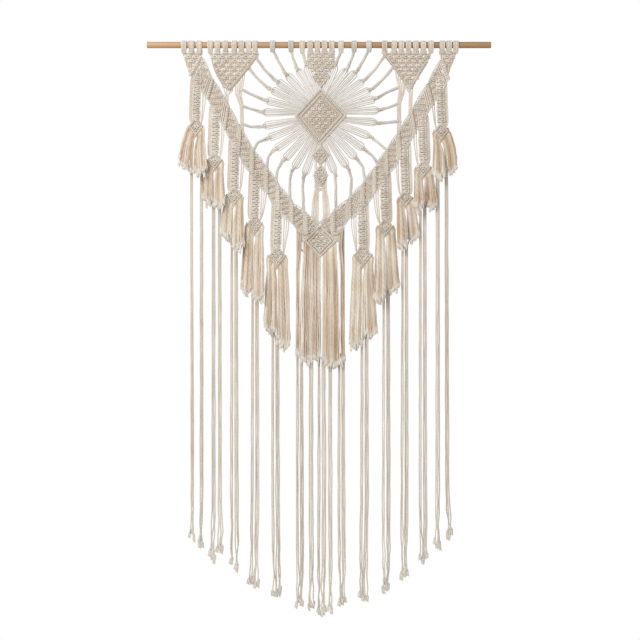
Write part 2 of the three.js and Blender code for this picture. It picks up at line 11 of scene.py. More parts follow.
import bpy
import numpy as np
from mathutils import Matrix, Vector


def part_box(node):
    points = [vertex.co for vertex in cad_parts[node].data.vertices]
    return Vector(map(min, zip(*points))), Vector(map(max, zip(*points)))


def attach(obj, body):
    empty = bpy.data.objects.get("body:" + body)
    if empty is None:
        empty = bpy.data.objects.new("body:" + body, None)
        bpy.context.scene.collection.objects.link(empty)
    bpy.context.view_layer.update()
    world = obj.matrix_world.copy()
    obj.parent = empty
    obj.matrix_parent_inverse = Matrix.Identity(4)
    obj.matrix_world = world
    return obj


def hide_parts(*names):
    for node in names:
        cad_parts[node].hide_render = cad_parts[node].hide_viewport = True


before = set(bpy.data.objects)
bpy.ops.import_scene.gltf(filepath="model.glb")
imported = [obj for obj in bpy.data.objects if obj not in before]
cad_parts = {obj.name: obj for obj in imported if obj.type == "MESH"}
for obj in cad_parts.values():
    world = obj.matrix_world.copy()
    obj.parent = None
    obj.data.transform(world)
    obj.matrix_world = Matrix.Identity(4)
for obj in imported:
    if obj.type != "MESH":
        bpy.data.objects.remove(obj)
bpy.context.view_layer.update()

MM = 0.001
SIDES = ("left", "right")
NUMBERS = range(1, 6)  # of the drops and tassels, outermost first
PALENESS = (0.2, 0.15, 0.3, 0.4, 0.45)  # of the cut cord of each tassel, from brown to cream
INWARD = {"left": 1, "right": -1}  # towards the middle of the curtain

# Cord
CORD = 1.9 * MM  # radius of the working cord
STRAND = 1.75 * MM  # radius of a hanging strand, pulled a little thinner
FAN_CORD = 1.58 * MM  # radius of the single plies that fan out round the sun
ARC_CORD = 1.4 * MM  # and of those that bridge the edges of the bands
FIBRE = 0.42 * MM  # one of the threads that a cut end opens into

# Square knots: two bars over a pair of core cords, and the bight at the side
KNOT_WIDTH = 16 * MM
KNOT_DEPTH = 3.4 * MM
KNOT_LEAN = 0.06  # radians at most, either way
CLOSE_ROWS = 8.8 * MM  # from one row of knots to the next in close work
OPEN_ROWS = 10.5 * MM  # and in the open triangles under the rod
SINNET_ROWS = 9.2 * MM

# Clove-hitch bars
WRAP_PITCH = 4.1 * MM
WRAP_WIDTH = 3.1 * MM
WRAP_DEPTH = 3.7 * MM

# Rope borders: two bars side by side round a diamond, this deep in from its edge
ROPE = (0.72, 1.0, 1.0)
ROPE_DEPTHS = (3.7 * MM, 11.4 * MM)
FAN_SPREAD = (-1.0, -0.46, 0.04, 0.5, 1.0)  # where the cords of a ray stand at its shoulder

# The knots of each section against a full one, across, deep and tall
FIELD_KNOT = (0.97, 1.0, 0.94)
SUN_KNOT = (0.9, 1.0, 1.06)
CROWN_KNOT = (0.68, 1.0, 0.92)
CENTRE_KNOT = (0.64, 1.0, 0.95)
BAND_KNOT = (0.54, 1.0, 0.88)
POINT_KNOT = (0.84, 1.1, 1.08)
SINNET_KNOT = (1.24, 1.1, 0.98)
DROP_KNOT = (0.68, 1.05, 0.92)

GROUND_THICKNESS = 1.5 * MM
PAINTED_DEEP_SHADE = -0.5  # painted shade: the tone of the core cords, darker than any cord's own, standing in for the shade deep in the work
ROD_RADIUS = 8 * MM
LOOP_LEVEL = 10.5 * MM  # only the loops on the rod reach this high
HEADING = -12 * MM  # they end here
FIRST_ROW = -19 * MM  # and the first row of knots lies here

rng = random.Random(7)


# ---------------------------------------------------------------- reading the frame

Span = namedtuple("Span", "low high front back")
HAIR = 1e-6  # keeps a cut clear of the corners of the mesh
SPECK = 1e-14  # squared length of an edge too short to cut
ANGLE_GAP = 0.002  # radians between spans round the sun that still count as one
_faces = {}


def faces(node):
    """The triangles of a CAD node."""
    if node not in _faces:
        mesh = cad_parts[node].data
        mesh.calc_loop_triangles()
        place = np.array([v.co for v in mesh.vertices])
        corner = np.array([t.vertices[:] for t in mesh.loop_triangles])
        _faces[node] = place[corner]
    return _faces[node]


def merged(rows, gap=0.3 * MM):
    """Overlapping (low, high, front, back) rows as separate spans, in order."""
    spans = []
    for low, high, front, back in sorted(rows):
        if spans and low <= spans[-1][1] + gap:
            last = spans[-1]
            spans[-1] = [last[0], max(last[1], high), min(last[2], front), max(last[3], back)]
        else:
            spans.append([low, high, front, back])
    return [Span(*row) for row in spans]


def cut(node, axis, value):
    """Spans of a node in one plane: at a height for axis 2, at a place along the rod for axis 0."""
    other = 2 - axis
    value += HAIR
    found = []
    tris = faces(node)
    side = tris[:, :, axis] > value
    crossing = tris[side.any(1) & ~side.all(1)]
    for tri in crossing:
        points = []
        for a, b in ((0, 1), (1, 2), (2, 0)):
            da = tri[a][axis] - value
            db = tri[b][axis] - value
            if (da > 0) != (db > 0):
                points.append(tri[a] + (tri[b] - tri[a]) * (da / (da - db)))
        across = [p[other] for p in points]
        depth = [p[1] for p in points]
        found.append((min(across), max(across), min(depth), max(depth)))
    return merged(found)


def span_at(node, axis, value, near=None):
    """The widest span, or the one nearest to a place, or None."""
    spans = cut(node, axis, value)
    if not spans:
        return None
    if near is None:
        return max(spans, key=lambda s: s.high - s.low)
    return min(spans, key=lambda s: max(s.low - near, near - s.high, 0))


def middle(span):
    return (span.low + span.high) / 2


def middle_of(values):
    return (max(values) + min(values)) / 2


def crests(node):
    """Ends of the raised bars on a node: its points that stand furthest forward, below the rod."""
    reach, apart = 5.4 * MM, 2.5 * MM
    points = faces(node).reshape(-1, 3)
    points = points[(points[:, 1] < -reach) & (points[:, 2] < -2 * ROD_RADIUS)]
    found = []
    for x, _, z in points:
        if all(math.hypot(x - fx, z - fz) > apart for fx, fz in found):
            found.append((x, z))
    return sorted(found)


def corners(node):
    """Top, right, bottom and left points of a diamond, as (x, z)."""
    points = faces(node).reshape(-1, 3)
    picks = [points[:, 2].argmax(), points[:, 0].argmax(), points[:, 2].argmin(), points[:, 0].argmin()]
    return [(points[i][0], points[i][2]) for i in picks]


def loops_on(node):
    """Where a section's loops sit along the rod."""
    return [middle(s) for s in cut(node, 2, LOOP_LEVEL)]


SUN = corners("sun_diamond")
SUN_X = (SUN[1][0] + SUN[3][0]) / 2
SUN_Z = (SUN[0][1] + SUN[2][1]) / 2


def ring_cut(node, radius):
    """Spans of a node on a circle round the sun, as angles from straight up, clockwise from the front."""
    found = []
    tris = faces(node)
    dx = tris[:, :, 0] - SUN_X
    dz = tris[:, :, 2] - SUN_Z
    ahead = math.atan2(dx.mean(), dz.mean())
    away = np.hypot(dx, dz) > radius
    for tri in tris[away.any(1) & ~away.all(1)]:
        angles, depth = [], []
        for a, b in ((0, 1), (1, 2), (2, 0)):
            px, pz = tri[a][0] - SUN_X, tri[a][2] - SUN_Z
            qx, qz = tri[b][0] - tri[a][0], tri[b][2] - tri[a][2]
            square = qx * qx + qz * qz
            if square < SPECK:
                continue
            half = (px * qx + pz * qz) / square
            inside = half * half - (px * px + pz * pz - radius * radius) / square
            if inside < 0:
                continue
            for t in (-half - math.sqrt(inside), -half + math.sqrt(inside)):
                if 0 <= t <= 1:
                    turn = math.atan2(px + t * qx, pz + t * qz) - ahead
                    angles.append(ahead + math.remainder(turn, 2 * math.pi))
                    depth.append(tri[a][1] + (tri[b][1] - tri[a][1]) * t)
        if angles:
            found.append((min(angles), max(angles), min(depth), max(depth)))
    return merged(found, ANGLE_GAP)


def along(points, step):
    """Points a step apart along a line of (x, z) or (x, y, z) points, ends included."""
    line = np.array(points, float)
    lengths = np.concatenate([[0], np.cumsum(np.linalg.norm(np.diff(line, axis=0), axis=1))])
    count = max(2, int(round(lengths[-1] / step)) + 1)
    places = np.linspace(0, lengths[-1], count)
    return np.stack([np.interp(places, lengths, line[:, i]) for i in range(line.shape[1])], 1)


# ---------------------------------------------------------------- node trees

def feed(tree, node, links):
    """Links or sets a node's inputs by name or number."""
    for name, value in links.items():
        socket = node.inputs[name]
        if isinstance(value, bpy.types.NodeSocket):
            tree.links.new(value, socket)
        else:
            socket.default_value = value
    return node


def put(tree, kind, links=None, **settings):
    """Adds a node, sets it up and feeds its inputs."""
    node = tree.nodes.new(kind)
    for name, value in settings.items():
        setattr(node, name, value)
    return feed(tree, node, links or {})


def new_tree(name, kind, inputs, outputs):
    """A node tree with named inputs {title: (socket kind, value)} and outputs {title: socket kind}."""
    tree = bpy.data.node_groups.new(name, kind)
    for title, (socket, value) in inputs.items():
        made = tree.interface.new_socket(title, in_out="INPUT", socket_type="NodeSocket" + socket)
        if value is not None:
            made.default_value = value
    for title, socket in outputs.items():
        tree.interface.new_socket(title, in_out="OUTPUT", socket_type="NodeSocket" + socket)
    given = tree.nodes.new("NodeGroupInput").outputs
    result = tree.nodes.new("NodeGroupOutput").inputs
    return tree, given, result


def geometry_tree(name, inputs):
    sockets = {"Geometry": ("Geometry", None), **inputs, "Material": ("Material", None)}
    return new_tree(name, "GeometryNodeTree", sockets, {"Geometry": "Geometry"})


def attribute(tree, name, kind="FLOAT"):
    return put(tree, "GeometryNodeInputNamedAttribute", {"Name": name}, data_type=kind).outputs["Attribute"]


def math_node(tree, operation, a, b=0.0):
    return put(tree, "ShaderNodeMath", {0: a, 1: b}, operation=operation).outputs[0]


def vector_node(tree, operation, a, b=(0, 0, 0)):
    return put(tree, "ShaderNodeVectorMath", {0: a, 1: b}, operation=operation).outputs[0]


def scaled(tree, vector, factor):
    return put(tree, "ShaderNodeVectorMath", {0: vector, "Scale": factor}, operation="SCALE").outputs[0]


def times(tree, a, b):
    return math_node(tree, "MULTIPLY", a, b)


def added(tree, total, *more):
    for value in more:
        total = math_node(tree, "ADD", total, value)
    return total


def noise(tree, place, scale, detail=2.0, distortion=0.0):
    links = {"Vector": place, "Scale": scale, "Detail": detail, "Distortion": distortion}
    return put(tree, "ShaderNodeTexNoise", links).outputs[0]


def eased(tree, value, low, high, start, end):
    """A value from low to high, as one from start to end."""
    return put(tree, "ShaderNodeMapRange", {0: value, 1: low, 2: high, 3: start, 4: end}).outputs[0]


def captured(tree, geometry, value, name):
    """The geometry with a value kept on it, and that value."""
    node = put(tree, "GeometryNodeCaptureAttribute", {"Geometry": geometry})
    node.capture_items.new("FLOAT", name)
    tree.links.new(value, node.inputs[1])
    return node.outputs["Geometry"], node.outputs[1]


def finished(tree, given, result, geometry):
    whole = put(tree, "GeometryNodeRealizeInstances", {"Geometry": geometry}).outputs[0]
    smooth = put(tree, "GeometryNodeSetShadeSmooth", {"Geometry": whole}).outputs[0]
    dressed = put(tree, "GeometryNodeSetMaterial", {"Geometry": smooth, "Material": given["Material"]})
    tree.links.new(dressed.outputs[0], result["Geometry"])
    return tree


def laid_cord_tree():
    """Round cord along drawn lines, with its length and its turn kept as a UV map."""
    tree, given, result = geometry_tree("laid cord", {
        "Step": ("Float", 0.01),
        "Sides": ("Int", 6),
        "Sway": ("Float", 0.0),
        "Sway Scale": ("Float", 9.0),
        "Seed": ("Int", 0),
    })
    line = put(tree, "GeometryNodeMeshToCurve", {"Mesh": given["Geometry"]}).outputs[0]
    soft = put(tree, "GeometryNodeCurveSplineType", {"Curve": line}, spline_type="CATMULL_ROM").outputs[0]
    even = put(tree, "GeometryNodeResampleCurve", {"Curve": soft, "Length": given["Step"]}, mode="LENGTH")

    shade = attribute(tree, "shade")
    own = put(tree, "ShaderNodeCombineXYZ", {0: times(tree, shade, 61.0), 1: given["Seed"]})
    place = put(tree, "GeometryNodeInputPosition").outputs[0]
    drift = put(tree, "ShaderNodeTexNoise", {
        "Vector": vector_node(tree, "ADD", place, own.outputs[0]),
        "Scale": given["Sway Scale"],
        "Detail": 1.0,
    })
    centred = vector_node(tree, "SUBTRACT", drift.outputs["Color"], (0.5, 0.5, 0.5))
    offset = scaled(tree, centred, times(tree, attribute(tree, "slack"), given["Sway"]))
    swayed = put(tree, "GeometryNodeSetPosition", {"Geometry": even.outputs[0], "Offset": offset}).outputs[0]
    thick = put(tree, "GeometryNodeSetCurveRadius", {"Curve": swayed, "Radius": attribute(tree, "thick")})

    run = put(tree, "GeometryNodeSplineParameter")
    cord, length = captured(tree, thick.outputs[0], run.outputs["Length"], "length")
    ring = put(tree, "GeometryNodeCurvePrimitiveCircle", {"Resolution": given["Sides"], "Radius": 1.0})
    profile, turn = captured(tree, ring.outputs[0], run.outputs["Factor"], "turn")
    tube = put(tree, "GeometryNodeCurveToMesh", {
        "Curve": cord,
        "Profile Curve": profile,
        "Scale": put(tree, "GeometryNodeInputRadius").outputs[0],
        "Fill Caps": True,
    }).outputs[0]
    mean = put(tree, "GeometryNodeFieldOnDomain", {0: turn}, data_type="FLOAT", domain="FACE").outputs[0]
    lag = math_node(tree, "SUBTRACT", mean, turn)
    closed = added(tree, turn, math_node(tree, "GREATER_THAN", lag, 0.25))
    uv = put(tree, "ShaderNodeCombineXYZ", {0: length, 1: closed}).outputs[0]
    mapped = put(tree, "GeometryNodeStoreNamedAttribute", {
        "Geometry": tube,
        "Name": "UVMap",
        "Value": uv,
    }, data_type="FLOAT2", domain="CORNER").outputs[0]
    return finished(tree, given, result, mapped)


def turned_copies(tree, given, points, turn):
    """Copies of a shape on points, each turned about Y, with a little unevenness of its own."""
    uneven = given["Uneven"]
    low, high = (scaled(tree, (sign, sign, sign), uneven) for sign in (-1, 1))
    jitter = put(tree, "FunctionNodeRandomValue", {0: low, 1: high, "Seed": given["Seed"]},
                 data_type="FLOAT_VECTOR").outputs[0]
    upright = put(tree, "ShaderNodeCombineXYZ", {1: turn}).outputs[0]
    leaning = vector_node(tree, "ADD", upright, jitter)
    rotation = put(tree, "FunctionNodeEulerToRotation", {0: leaning}).outputs[0]
    swell = vector_node(tree, "ADD", jitter, (1, 1, 1))
    scale = vector_node(tree, "MULTIPLY", attribute(tree, "size", "FLOAT_VECTOR"), swell)
    shape = put(tree, "GeometryNodeObjectInfo", {"Object": given["Shape"]}).outputs["Geometry"]
    return put(tree, "GeometryNodeInstanceOnPoints", {
        "Points": points,
        "Instance": shape,
        "Rotation": rotation,
        "Scale": scale,
    }).outputs[0]


COPY_INPUTS = {
    "Shape": ("Object", None),
    "Uneven": ("Float", 0.05),
    "Seed": ("Int", 0),
}


def placed_knots_tree():
    """One knot, tuft or tie on each point."""
    tree, given, result = geometry_tree("placed knots", COPY_INPUTS)
    copies = turned_copies(tree, given, given["Geometry"], attribute(tree, "turn"))
    return finished(tree, given, result, copies)


def wrapped_bar_tree():
    """Clove hitches side by side along drawn lines."""
    tree, given, result = geometry_tree("wrapped bar", {"Pitch": ("Float", WRAP_PITCH), **COPY_INPUTS})
    line = put(tree, "GeometryNodeMeshToCurve", {"Mesh": given["Geometry"]}).outputs[0]
    even = put(tree, "GeometryNodeResampleCurve", {"Curve": line, "Length": given["Pitch"]}, mode="LENGTH")
    ahead = put(tree, "ShaderNodeSeparateXYZ", {0: put(tree, "GeometryNodeInputTangent").outputs[0]})
    turn = math_node(tree, "ARCTAN2", ahead.outputs[0], ahead.outputs[2])
    copies = turned_copies(tree, given, even.outputs[0], turn)
    return finished(tree, given, result, copies)


def shown(name, data):
    """A new object in the scene."""
    made = bpy.data.objects.new(name, data)
    bpy.context.scene.collection.objects.link(made)
    return made


def built(name, points, quads, material):
    """A mesh object from its points and faces."""
    mesh = bpy.data.meshes.new(name)
    mesh.from_pydata(points, [], quads)
    mesh.materials.append(material)
    return shown(name, mesh)


def evaluated(piece):
    """The mesh that a piece's modifiers make of it."""
    graph = bpy.context.evaluated_depsgraph_get()
    return bpy.data.meshes.new_from_object(
        piece.evaluated_get(graph), preserve_all_data_layers=True, depsgraph=graph)


def grown(name, start, tree, **sizes):
    """What a tree makes of a seed mesh, as a plain mesh object at the origin."""
    seed = shown(name, start)
    modifier = seed.modifiers.new("grow", "NODES")
    modifier.node_group = tree
    titles = {title.replace(" ", "_").lower(): title for title in (s.name for s in tree.interface.items_tree)}
    for word, value in sizes.items():
        socket = tree.interface.items_tree[titles[word]]
        modifier[socket.identifier] = value
    seed.update_tag()
    mesh = evaluated(seed)
    seed.modifiers.remove(modifier)
    seed.data = mesh
    mesh.name = name
    return seed


def seed_mesh(name, points, edges, **columns):
    """Points and lines with a number or a size for each point, under each name."""
    mesh = bpy.data.meshes.new(name)
    mesh.from_pydata(points, edges, [])
    for title, values in columns.items():
        values = np.array(values, np.float32)
        wide = values.ndim > 1
        layer = mesh.attributes.new(title, "FLOAT_VECTOR" if wide else "FLOAT", "POINT")
        layer.data.foreach_set("vector" if wide else "value", values.ravel())
    return mesh


class Hank:
    """Lines of cord that become one piece."""

    def __init__(self):
        self.points, self.edges = [], []
        self.thick, self.slack, self.shade = [], [], []

    def lay(self, path, thick=CORD, slack=0.0, shade=None):
        """One cord along a path of (x, y, z) points. thick and slack are one number or one for each point."""
        count = len(path)
        start = len(self.points)
        self.points += [tuple(p) for p in path]
        self.edges += [(start + i, start + i + 1) for i in range(count - 1)]
        self.thick += list(np.broadcast_to(thick, count))
        self.slack += list(np.broadcast_to(slack, count))
        self.shade += [rng.random() if shade is None else shade] * count

    def piece(self, name, material, step=6 * MM, sides=6, sway=0.0, sway_scale=9.0):
        mesh = seed_mesh(name, self.points, self.edges, thick=self.thick, slack=self.slack, shade=self.shade)
        return grown(name, mesh, LAID_CORD, step=step, sides=sides, sway=sway, sway_scale=sway_scale,
                     seed=rng.randrange(100), material=material)


class Places:
    """Points that each carry one copy of a shape, turned in the plane of the work."""

    def __init__(self):
        self.points, self.turn, self.size, self.shade = [], [], [], []

    def mark(self, x, y, z, turn=0.0, size=(1, 1, 1), shade=None):
        self.points.append((x, y, z))
        self.turn.append(turn)
        self.size.append(size)
        self.shade.append(rng.random() if shade is None else shade)

    def piece(self, name, shape, material, uneven=0.05):
        mesh = seed_mesh(name, self.points, [], turn=self.turn, shade=self.shade, size=self.size)
        return grown(name, mesh, PLACED_KNOTS, shape=shape, uneven=uneven, seed=rng.randrange(100),
                     material=material)


class Bars:
    """Lines of (x, z) points that each carry a clove-hitch bar."""

    def __init__(self):
        self.points, self.edges, self.size, self.shade = [], [], [], []

    def lay(self, line, size=(1, 1, 1), y=0.0):
        start = len(self.points)
        self.points += [(x, y, z) for x, z in line]
        self.edges += [(start + i, start + i + 1) for i in range(len(line) - 1)]
        self.size += [size] * len(line)
        self.shade += [rng.random()] * len(line)

    def piece(self, name, material):
        mesh = seed_mesh(name, self.points, self.edges, shade=self.shade, size=self.size)
        return grown(name, mesh, WRAPPED_BAR, pitch=WRAP_PITCH, shape=WRAP_SHAPE, uneven=0.06,
                     seed=rng.randrange(100), material=material)


# ---------------------------------------------------------------- materials

def material(name):
    """A new material with its tree, its shader and the place on the object that its patterns follow."""
    made = bpy.data.materials.new(name)
    made.use_nodes = True
    tree = made.node_tree
    place = put(tree, "ShaderNodeTexCoord").outputs["Object"]
    return made, tree, tree.nodes["Principled BSDF"], place


def raised(tree, strength, distance, height):
    links = {"Strength": strength, "Distance": distance, "Height": height}
    return put(tree, "ShaderNodeBump", links).outputs[0]


def mixed(tree, factor, a, b, blend="MIX"):
    node = put(tree, "ShaderNodeMix", {0: factor, 6: a, 7: b}, data_type="RGBA", blend_type=blend)
    return node.outputs[2]


def twisted_yarn_group():
    """Cotton twisted from plies: u runs along the cord in metres, v once round it."""
    tree, given, result = new_tree("twisted yarn", "ShaderNodeTree", {
        "UV": ("Vector", (0, 0, 0)),
        "Place": ("Vector", (0, 0, 0)),
        "Shade": ("Float", 0.5),
        "Plies": ("Float", 3.0),
        "Turns": ("Float", 95.0),
        "Dark": ("Color", (0.5, 0.5, 0.5, 1)),
        "Light": ("Color", (0.8, 0.8, 0.8, 1)),
        "Groove": ("Float", 0.5),
    }, {"Color": "Color", "Height": "Float", "Roughness": "Float"})
    part = put(tree, "ShaderNodeSeparateXYZ", {0: given["UV"]}).outputs
    twist = added(tree, times(tree, part[0], given["Turns"]), times(tree, part[1], given["Plies"]))
    phase = math_node(tree, "FRACT", twist)
    ply = math_node(tree, "POWER", math_node(tree, "SINE", times(tree, phase, math.pi)), 0.6)

    streak = put(tree, "ShaderNodeCombineXYZ", {
        0: times(tree, twist, 5.0),
        1: times(tree, part[0], 90.0),
        2: times(tree, given["Shade"], 31.0),
    }).outputs[0]
    threads = noise(tree, streak, 1.0)
    fuzz = noise(tree, given["Place"], 900.0)
    drift = noise(tree, given["Place"], 14.0)

    streaks, slow = (times(tree, math_node(tree, "SUBTRACT", wave, 0.5), 0.9) for wave in (threads, drift))
    tone = added(tree, streaks, times(tree, given["Shade"], 0.55), slow, 0.25)
    tone = put(tree, "ShaderNodeClamp", {0: tone}).outputs[0]
    colour = mixed(tree, tone, given["Dark"], given["Light"])
    # painted shade: the colour darkens in the grooves between the plies, where shade falls
    shadow = times(tree, math_node(tree, "SUBTRACT", 1.0, ply), given["Groove"])
    done = {
        "Color": mixed(tree, shadow, colour, (0.34, 0.27, 0.2, 1), "MULTIPLY"),
        "Height": added(tree, ply, times(tree, threads, 0.5), times(tree, fuzz, 0.35)),
        "Roughness": added(tree, 0.82, times(tree, fuzz, 0.16)),
    }
    for title, value in done.items():
        tree.links.new(value, result[title])
    return tree


def cotton(name, dark, light, plies=3.0, turns=95.0, groove=0.5, bump=0.55):
    """A cotton cord finish with its own pair of colours."""
    made, tree, shader, place = material(name)
    yarn = put(tree, "ShaderNodeGroup", {
        "UV": put(tree, "ShaderNodeUVMap", uv_map="UVMap").outputs[0],
        "Place": place,
        "Shade": put(tree, "ShaderNodeAttribute", attribute_name="shade").outputs["Fac"],
        "Plies": plies,
        "Turns": turns,
        "Dark": dark,
        "Light": light,
        "Groove": groove,
    }, node_tree=TWISTED_YARN).outputs
    feed(tree, shader, {
        "Base Color": yarn["Color"],
        "Roughness": yarn["Roughness"],
        "Normal": raised(tree, bump, 0.6 * MM, yarn["Height"]),
        "Sheen Weight": 0.25,
        "Sheen Roughness": 0.6,
        "Specular IOR Level": 0.15,
        "Subsurface Weight": 0.25,
        "Subsurface Radius": (1.0, 0.62, 0.4),
        "Subsurface Scale": 4 * MM,
    })
    return made


def painted_shade_ground():
    """The core cords deep in the knotting, seen only through its gaps, coloured darker than the cords as
    painted shade for those gaps.
    """
    made, tree, shader, place = material("knotted ground")
    cords = put(tree, "ShaderNodeTexWave", {"Vector": place, "Scale": 78.0, "Distortion": 1.2, "Detail": 2.0},
                wave_type="BANDS", bands_direction="X").outputs["Fac"]
    fuzz = noise(tree, place, 500.0)
    # painted shade: the ground's cords and the furrows between them are coloured far darker than the cords in
    # front
    colour = mixed(tree, cords, (0.30, 0.245, 0.19, 1), (0.54, 0.46, 0.375, 1))
    colour = mixed(tree, times(tree, fuzz, 0.4), colour, (0.7, 0.62, 0.53, 1))
    height = added(tree, cords, times(tree, fuzz, 0.3))
    normal = raised(tree, 0.6, 0.8 * MM, height)
    feed(tree, shader, {"Base Color": colour, "Normal": normal, "Roughness": 0.95})
    return made


def rod_wood():
    """Pale oiled dowel, with its grain along the rod."""
    made, tree, shader, place = material("rod wood")
    stretched = put(tree, "ShaderNodeMapping", {"Vector": place, "Scale": (4.0, 90.0, 90.0)}).outputs[0]
    grain = noise(tree, stretched, 1.6, 5.0, 0.6)
    fine = put(tree, "ShaderNodeMapping", {"Vector": place, "Scale": (30.0, 900.0, 900.0)}).outputs[0]
    pores = noise(tree, fine, 1.0)
    lengthwise = put(tree, "ShaderNodeSeparateXYZ", {0: place}).outputs[0]
    # darker towards the right end: partly the wood's own tone, partly painted shade standing in for light
    # that falls from the left
    rightward = eased(tree, lengthwise, -0.43, 0.43, 0.0, 1.0)
    tone = added(tree, rightward, times(tree, noise(tree, place, 3.5, 1.0), 0.3))
    colour = mixed(tree, tone, (0.50, 0.30, 0.145, 1), (0.225, 0.10, 0.028, 1))
    colour = mixed(tree, eased(tree, grain, 0.35, 0.7, 0.0, 0.55), colour, (0.34, 0.18, 0.08, 1))
    feed(tree, shader, {
        "Base Color": mixed(tree, times(tree, pores, 0.25), colour, (0.8, 0.6, 0.38, 1)),
        "Roughness": eased(tree, grain, 0.3, 0.7, 0.42, 0.62),
        "Normal": raised(tree, 0.25, 0.3 * MM, added(tree, grain, times(tree, pores, 0.6))),
    })
    return made


def plain_floor():
    made, tree, shader, place = material("studio floor")
    colour = mixed(tree, noise(tree, place, 30.0, 3.0), (0.74, 0.735, 0.725, 1), (0.78, 0.775, 0.765, 1))
    feed(tree, shader, {"Base Color": colour, "Roughness": 0.9})
    return made


TWISTED_YARN = twisted_yarn_group()
CREAM = cotton("knotted cotton", (0.54, 0.46, 0.38, 1), (0.76, 0.70, 0.62, 1), groove=0.4)
PALE = cotton("loose cotton", (0.45, 0.42, 0.375, 1), (0.68, 0.645, 0.59, 1), groove=0.2, bump=0.3)
CUT = cotton("cut cotton", (0.46, 0.31, 0.195, 1), (0.84, 0.765, 0.66, 1), turns=70.0, groove=0.35)
FRAY = cotton("frayed cotton", (0.67, 0.58, 0.48, 1), (0.85, 0.775, 0.685, 1), groove=0.0, bump=0.1)
HANGING = cotton("hanging cotton", (0.49, 0.43, 0.36, 1), (0.72, 0.67, 0.59, 1), groove=0.35)
GROUND = painted_shade_ground()
WOOD = rod_wood()
FLOOR = plain_floor()

LAID_CORD = laid_cord_tree()
PLACED_KNOTS = placed_knots_tree()
WRAPPED_BAR = wrapped_bar_tree()


# ---------------------------------------------------------------- shapes that repeat

def library_shape(name, hank, step, sides):
    """A small shape that is copied into the work and then put away."""
    shape = hank.piece(name, CREAM, step=step, sides=sides)
    layers = shape.data.attributes
    for layer in ("shade", "thick", "slack"):
        if layer in layers:
            layers.remove(layers[layer])
    return shape


def once_round(steps=9):
    """Angles of a closed loop of cord."""
    return [2 * math.pi * i / steps for i in range(steps + 1)]


def leaning_bar(width, depth, lean, z):
    """A working cord once round the core, from low on one side to high on the other in front."""
    return [(width * math.cos(t), -depth * math.sin(t), z + lean * math.cos(t) * math.sin(t))
            for t in once_round()]


def square_knot():
    half = KNOT_WIDTH / 2 - CORD
    hank = Hank()
    for up in (1, -1):
        hank.lay(leaning_bar(half, KNOT_DEPTH, up * 1.9 * MM, up * 2.0 * MM), CORD, shade=0.5)
    bight = ((0.6 * MM, 4.4 * MM), (-1.6 * MM, 2 * MM), (-1.6 * MM, -2 * MM), (0.6 * MM, -4.4 * MM))
    for side in (-1, 1):
        hank.lay([(side * (half + 0.6 * MM), y, z) for y, z in bight], CORD * 0.9, shade=0.5)
    return library_shape("square_knot", hank, 5.2 * MM, 5)


def clove_wrap():
    hank = Hank()
    path = [(WRAP_WIDTH * math.cos(t), -WRAP_DEPTH * math.sin(t), 1.0 * MM * math.cos(t))
            for t in once_round()]
    hank.lay(path, CORD * 1.05, shade=0.5)
    return library_shape("clove_wrap", hank, 2.8 * MM, 5)


def frayed_tuft():
    """A cut end opened into its threads, hanging from the origin."""
    hank = Hank()
    threads = 9
    for i in range(threads):
        t = 2 * math.pi * i / threads + rng.uniform(-0.3, 0.3)
        spread = rng.uniform(0.9, 2.9) * MM
        length = rng.uniform(11, 17) * MM
        stations = ((STRAND * 0.6, -0.3), (STRAND * 0.75, 0.05), (spread * 0.8, 0.5), (spread, 1.0))
        path = [(math.cos(t) * out, math.sin(t) * 0.7 * out, -length * down) for out, down in stations]
        hank.lay(path, [FIBRE * 2.4, FIBRE * 3.2, FIBRE * 2.9, FIBRE * 1.3], shade=0.5)
    return library_shape("frayed_tuft", hank, 8 * MM, 3)


SQUARE_KNOT = square_knot()
WRAP_SHAPE = clove_wrap()
TUFT = frayed_tuft()


# ---------------------------------------------------------------- helpers for sections

def settle(pieces, node=None):
    """Gives pieces their body and hides the CAD node that they stand for, if there is one."""
    for piece in pieces:
        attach(piece, "root")
    if node:
        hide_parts(node)
    return pieces


def worked(title, ropes, hank, places, bars, **how):
    """The cords, knots and ropes of a section as pieces, each with its own word in the title."""
    return [hank.piece(title % "cords", CREAM, **how), places.piece(title % "knots", SQUARE_KNOT, CREAM),
            bars.piece(title % ropes, CREAM)]


def hang_sheet(node, ground, pieces):
    """Settles a section: its ground sheet and the rest of its pieces."""
    settle([ground] + pieces, node)


def pinholes(places, size):
    """True at the small gaps between knots."""
    return lambda x, z: any(abs(x - hx) + abs(z - hz) * 0.7 < size for hx, hz in places)


def ground_sheet(name, node, axis, low, high, open_at=lambda x, z: False):
    """A thin cloth in a node's outline, left open where asked. Returns the piece and its area."""
    inset, cell = 1.2 * MM, 2.4 * MM
    rows = []
    for value in along([(low, 0), (high, 0)], cell)[:, 0]:
        span = span_at(node, axis, value)
        if span and span.high - span.low > 3 * inset:
            rows.append((value, span.low + inset, span.high - inset))
    columns = max(3, int(max(b - a for _, a, b in rows) / cell))
    points = []
    for value, a, b in rows:
        for i in range(columns + 1):
            place = a + (b - a) * i / columns
            points.append((place, 0.0, value) if axis == 2 else (value, 0.0, place))
    quads = []
    for r in range(len(rows) - 1):
        for c in range(columns):
            first = r * (columns + 1) + c
            quad = [first, first + 1, first + columns + 2, first + columns + 1]
            x, z = (sum(points[i][k] for i in quad) / 4 for k in (0, 2))
            if not open_at(x, z):
                quads.append(quad)
    piece = built(name, points, quads, GROUND)
    solid = piece.modifiers.new("thickness", "SOLIDIFY")
    solid.thickness = GROUND_THICKNESS
    solid.offset = 0
    thick = evaluated(piece)
    piece.modifiers.remove(solid)
    piece.data = thick
    return piece, sum(b - a for _, a, b in rows) * (rows[1][0] - rows[0][0])


def inside(node, x, z, margin):
    """True where the node's outline holds a point with room to spare on both sides."""
    level, upright = cut(node, 2, z), cut(node, 0, x)
    return (any(s.low + margin <= x <= s.high - margin for s in level)
            and any(s.low + margin <= z <= s.high - margin for s in upright))


